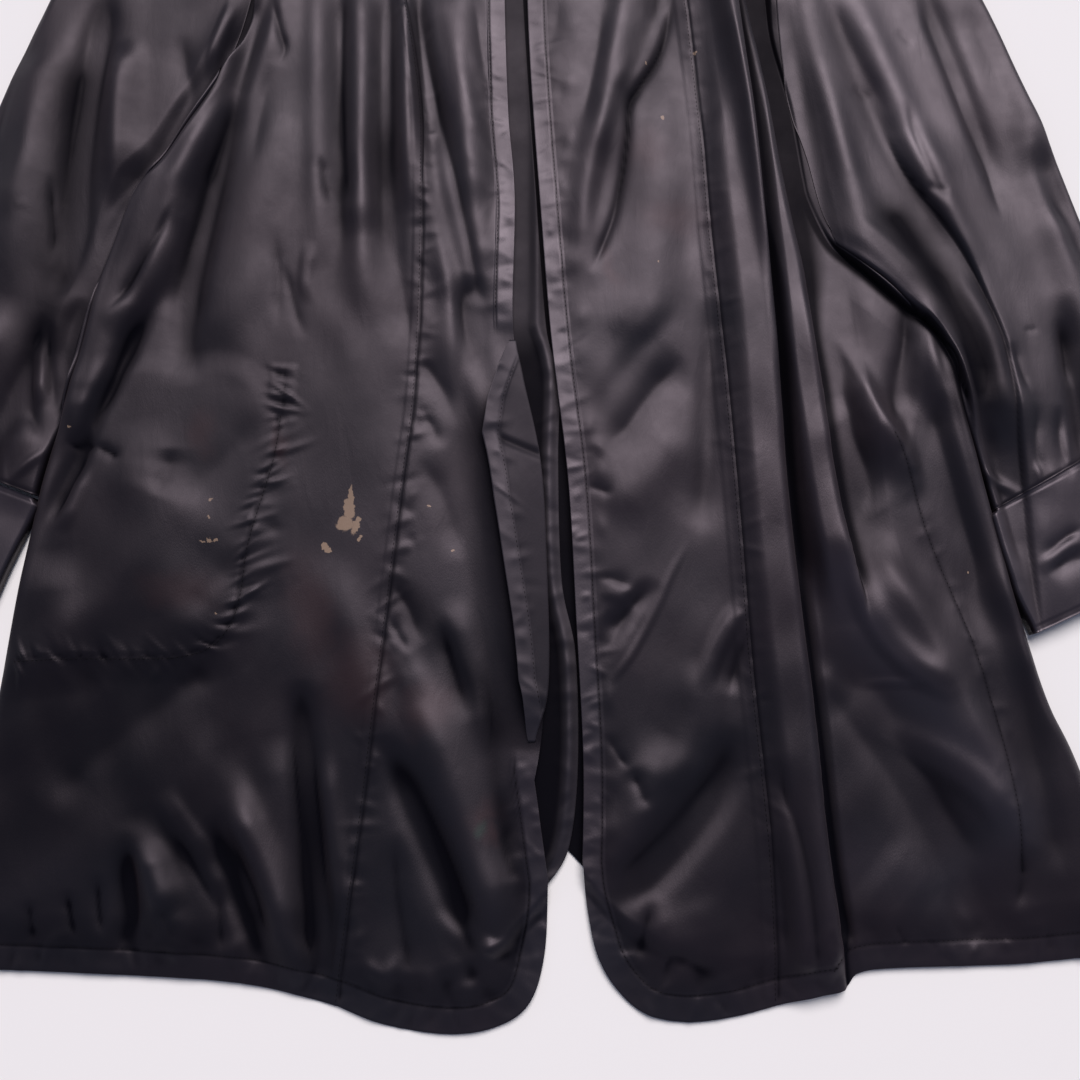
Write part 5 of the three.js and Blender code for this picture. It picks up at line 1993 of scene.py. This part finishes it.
@dataclass
class Jacket:
    """The whole jacket, panel by panel."""

    relief: Relief
    outside: bpy.types.Material
    inside: bpy.types.Material
    bag: bpy.types.Material
    thread: bpy.types.Material

    def build(self) -> None:
        """Builds the back, the fronts, the sleeves, the turned edge and the stitching, in that order."""
        for panel in (*self._backs(), *self._fronts()):
            self._report(panel.build())
        for sleeve in self._sleeves():
            self._report(sleeve.build())
        turned = TurnedEdge(self.relief, self.inside)
        self._report(turned.build())
        for name in ("pocket_bag_left", "pocket_bag_right"):
            self._dress(name)
        self._stitch(turned)

    @staticmethod
    def _report(piece: bpy.types.Object) -> None:
        """Logs a piece and its number of faces."""
        LOG.info("%s: %d faces", piece.name, len(piece.data.polygons))

    def _dress(self, name: str) -> None:
        """Gives one of the frame's own pieces the pocket cloth."""
        piece = bpy.data.objects[name]
        for slot in piece.material_slots:
            slot.material = self.bag
        if not piece.material_slots:
            piece.data.materials.append(self.bag)

    def _backs(self) -> list[Panel]:
        """Gives the two halves of the back."""
        relief, cloth = self.relief, self.inside
        cut = {"flat": (0.40, 0.84), "area": 0.27, "rests_on": ["studio_floor"]}
        rows = spaced((0, 0.86, 330), (0.86, 1, 24))
        left_middle, right_middle = LEFT_VENT.then(BACK_SEAM), RIGHT_VENT.then(BACK_SEAM)
        under = BACK_SEAM_TUCK * smooth((right_middle.dense[:, 1] + 80) / 80)
        return [
            Panel("back_left", LEFT_BACK_HEM, LEFT_BACK_NECK, LEFT_BODY_SIDE, left_middle,
                  spaced((0, 0.82, 30), (0.82, 1, 60)), rows, relief.left_back, cloth, cut,
                  Side.INSIDE, shade=relief.left_back_shade, free_edges=(False, True)),
            Panel("back_right", RIGHT_BACK_HEM, RIGHT_BACK_NECK, right_middle.beside(under),
                  RIGHT_BODY_SIDE, spaced((0, 0.16, 40), (0.16, 1, 30)), rows, relief.right_back, cloth,
                  cut, Side.INSIDE, shade=relief.right_back_shade, free_hem=False),
        ]

    def _fronts(self) -> list[Panel]:
        """Gives the four panels of the fronts."""
        front, satin = self.relief.front, self.outside
        rows = spaced((0, 0.03, 18), (0.03, 0.86, 382), (0.86, 1, 40))
        tones = {"tone": self.relief.tone, "shade": self.relief.shade}
        left = {"border": self.relief.borders[0], **tones}
        right = {"border": self.relief.borders[1], **tones}
        on_left, on_right = {"rests_on": ["back_left_cloth"]}, {"rests_on": ["back_right_cloth"]}
        return [
            Panel("side_front_left", LEFT_SIDE_HEM, LEFT_SHOULDER, LEFT_BODY_SIDE, LEFT_PRINCESS,
                  spaced((0, 0.1, 24), (0.1, 0.93, 130), (0.93, 1, 20)), rows, front, satin,
                  {"flat": (0.29, 0.83), "area": 0.19, **on_left}, sides=(True, False), **left),
            Panel("front_left", LEFT_FRONT_HEM, LEFT_NECK, LEFT_PRINCESS, LEFT_EDGE,
                  spaced((0, 0.1, 16), (0.1, 0.8, 62), (0.8, 1, 34)), rows, front, satin,
                  {"flat": (0.16, 0.85), "area": 0.085, **on_left}, free_edges=(False, True), **left),
            Panel("front_right", RIGHT_FRONT_HEM, RIGHT_NECK, RIGHT_EDGE, RIGHT_PRINCESS,
                  spaced((0, 0.2, 34), (0.2, 0.86, 64), (0.86, 1, 22)), rows, front, satin,
                  {"flat": (0.17, 0.85), "area": 0.105, **on_right}, free_edges=(True, False), **right),
            Panel("side_front_right", RIGHT_SIDE_HEM, RIGHT_SHOULDER, RIGHT_PRINCESS, RIGHT_BODY_SIDE,
                  spaced((0, 0.05, 14), (0.05, 0.9, 148), (0.9, 1, 26)), rows, front, satin,
                  {"flat": (0.31, 0.83), "area": 0.16, **on_right}, sides=(False, True), **right),
        ]

    def _sleeves(self) -> list[Sleeve]:
        """Gives the sleeves and their cuffs."""
        left_end = Curve(np.array([LEFT_BODY_SIDE.at(LEFT_CUFF_SEAM), LEFT_SLEEVE_OUTSIDE.at(1.0)]))
        right_end = Curve(np.array([RIGHT_BODY_SIDE.at(RIGHT_CUFF_SEAM), RIGHT_SLEEVE_OUTSIDE.at(1.0)]))
        left_tip = Curve(np.array([LEFT_CUFF_INSIDE.at(1.0), LEFT_CUFF_OUTSIDE.at(1.0)]))
        right_tip = Curve(np.array([RIGHT_CUFF_INSIDE.at(1.0), RIGHT_CUFF_OUTSIDE.at(1.0)]))
        left_inside = LEFT_BODY_SIDE.stretch(LEFT_UNDERARM, LEFT_CUFF_SEAM)
        right_inside = RIGHT_BODY_SIDE.stretch(RIGHT_UNDERARM, RIGHT_CUFF_SEAM)
        relief, satin = self.relief, self.outside
        return [
            Sleeve("sleeve_left", LEFT_BODY_SIDE.stretch(LEFT_UNDERARM, 1), left_end, left_inside,
                   LEFT_SLEEVE_OUTSIDE, relief, satin, (0.30, 0.50)),
            Sleeve("sleeve_right", RIGHT_BODY_SIDE.stretch(RIGHT_UNDERARM, 1), right_end, right_inside,
                   RIGHT_SLEEVE_OUTSIDE, relief, satin, (0.34, 0.50)),
            Sleeve("cuff_left", left_end, left_tip, LEFT_CUFF_INSIDE, LEFT_CUFF_OUTSIDE, relief, satin,
                   (0.30, 0.095), is_cuff=True, rows=60),
            Sleeve("cuff_right", right_end, right_tip, RIGHT_CUFF_INSIDE, RIGHT_CUFF_OUTSIDE, relief, satin,
                   (0.30, 0.095), is_cuff=True, rows=60),
        ]

    def _stitch(self, turned: TurnedEdge) -> None:
        """Sews the lines that show: borders, the fronts' seams, the pocket bag and the turned edge."""

        def surface(x: Array, y: Array) -> Array:
            """Gives the height of the fronts' surface."""
            return self.relief.front(x, y) + SURFACE

        stitching = Stitching(self.thread)
        left, right = self.relief.borders
        left_line = self._inside_line(left, 1.0)
        right_line = self._inside_line(right, -1.0)
        low = Curve.of(left_line.dense[left_line.dense[:, 1] < TURNED[0]])
        high = Curve.of(left_line.dense[left_line.dense[:, 1] > TURNED[1] + 2])
        left_lines = (low, high, LEFT_PRINCESS.beside(2.0), POCKET_LINE)
        right_lines = (right_line, RIGHT_PRINCESS.beside(2.0), SIDE_SEAM_RIGHT)
        y = np.linspace(20, -240, 200)
        free = np.stack([LEFT_EDGE.x_at(y) - turned_reach(y) + EDGE_BAND - 1.6, y], axis=-1)
        kept = turned_reach(y) > EDGE_BAND
        self._report(stitching.build("stitches_left", [(line, surface) for line in left_lines]))
        self._report(stitching.build("stitches_right", [(line, surface) for line in right_lines]))
        self._report(stitching.build("stitches_turned_edge", [(Curve.of(free[kept]), turned.height)]))

    @staticmethod
    def _inside_line(border: Border, inward: float) -> Curve:
        """Gives the line of stitches along a border's inner edge."""
        line = border.outline
        return line.beside(inward * (border.width(line.run) - GROOVE_IN))


def main() -> None:
    """Builds the studio and the jacket in order."""
    logging.basicConfig(level=logging.INFO, format="%(message)s")
    Studio().build()
    Jacket(
        Relief(),
        Satin("overdyed_satin_face", roughness=0.46, ior=1.55, sheen=0.05).material(),
        Satin("overdyed_satin_back", roughness=0.6, ior=1.5, sheen=0.1, worn="#141318").material(),
        Satin("pocket_cotton", roughness=0.7, ior=1.4, sheen=0.1).material(),
        Thread().material(),
    ).build()


if __name__ == "__main__":
    main()
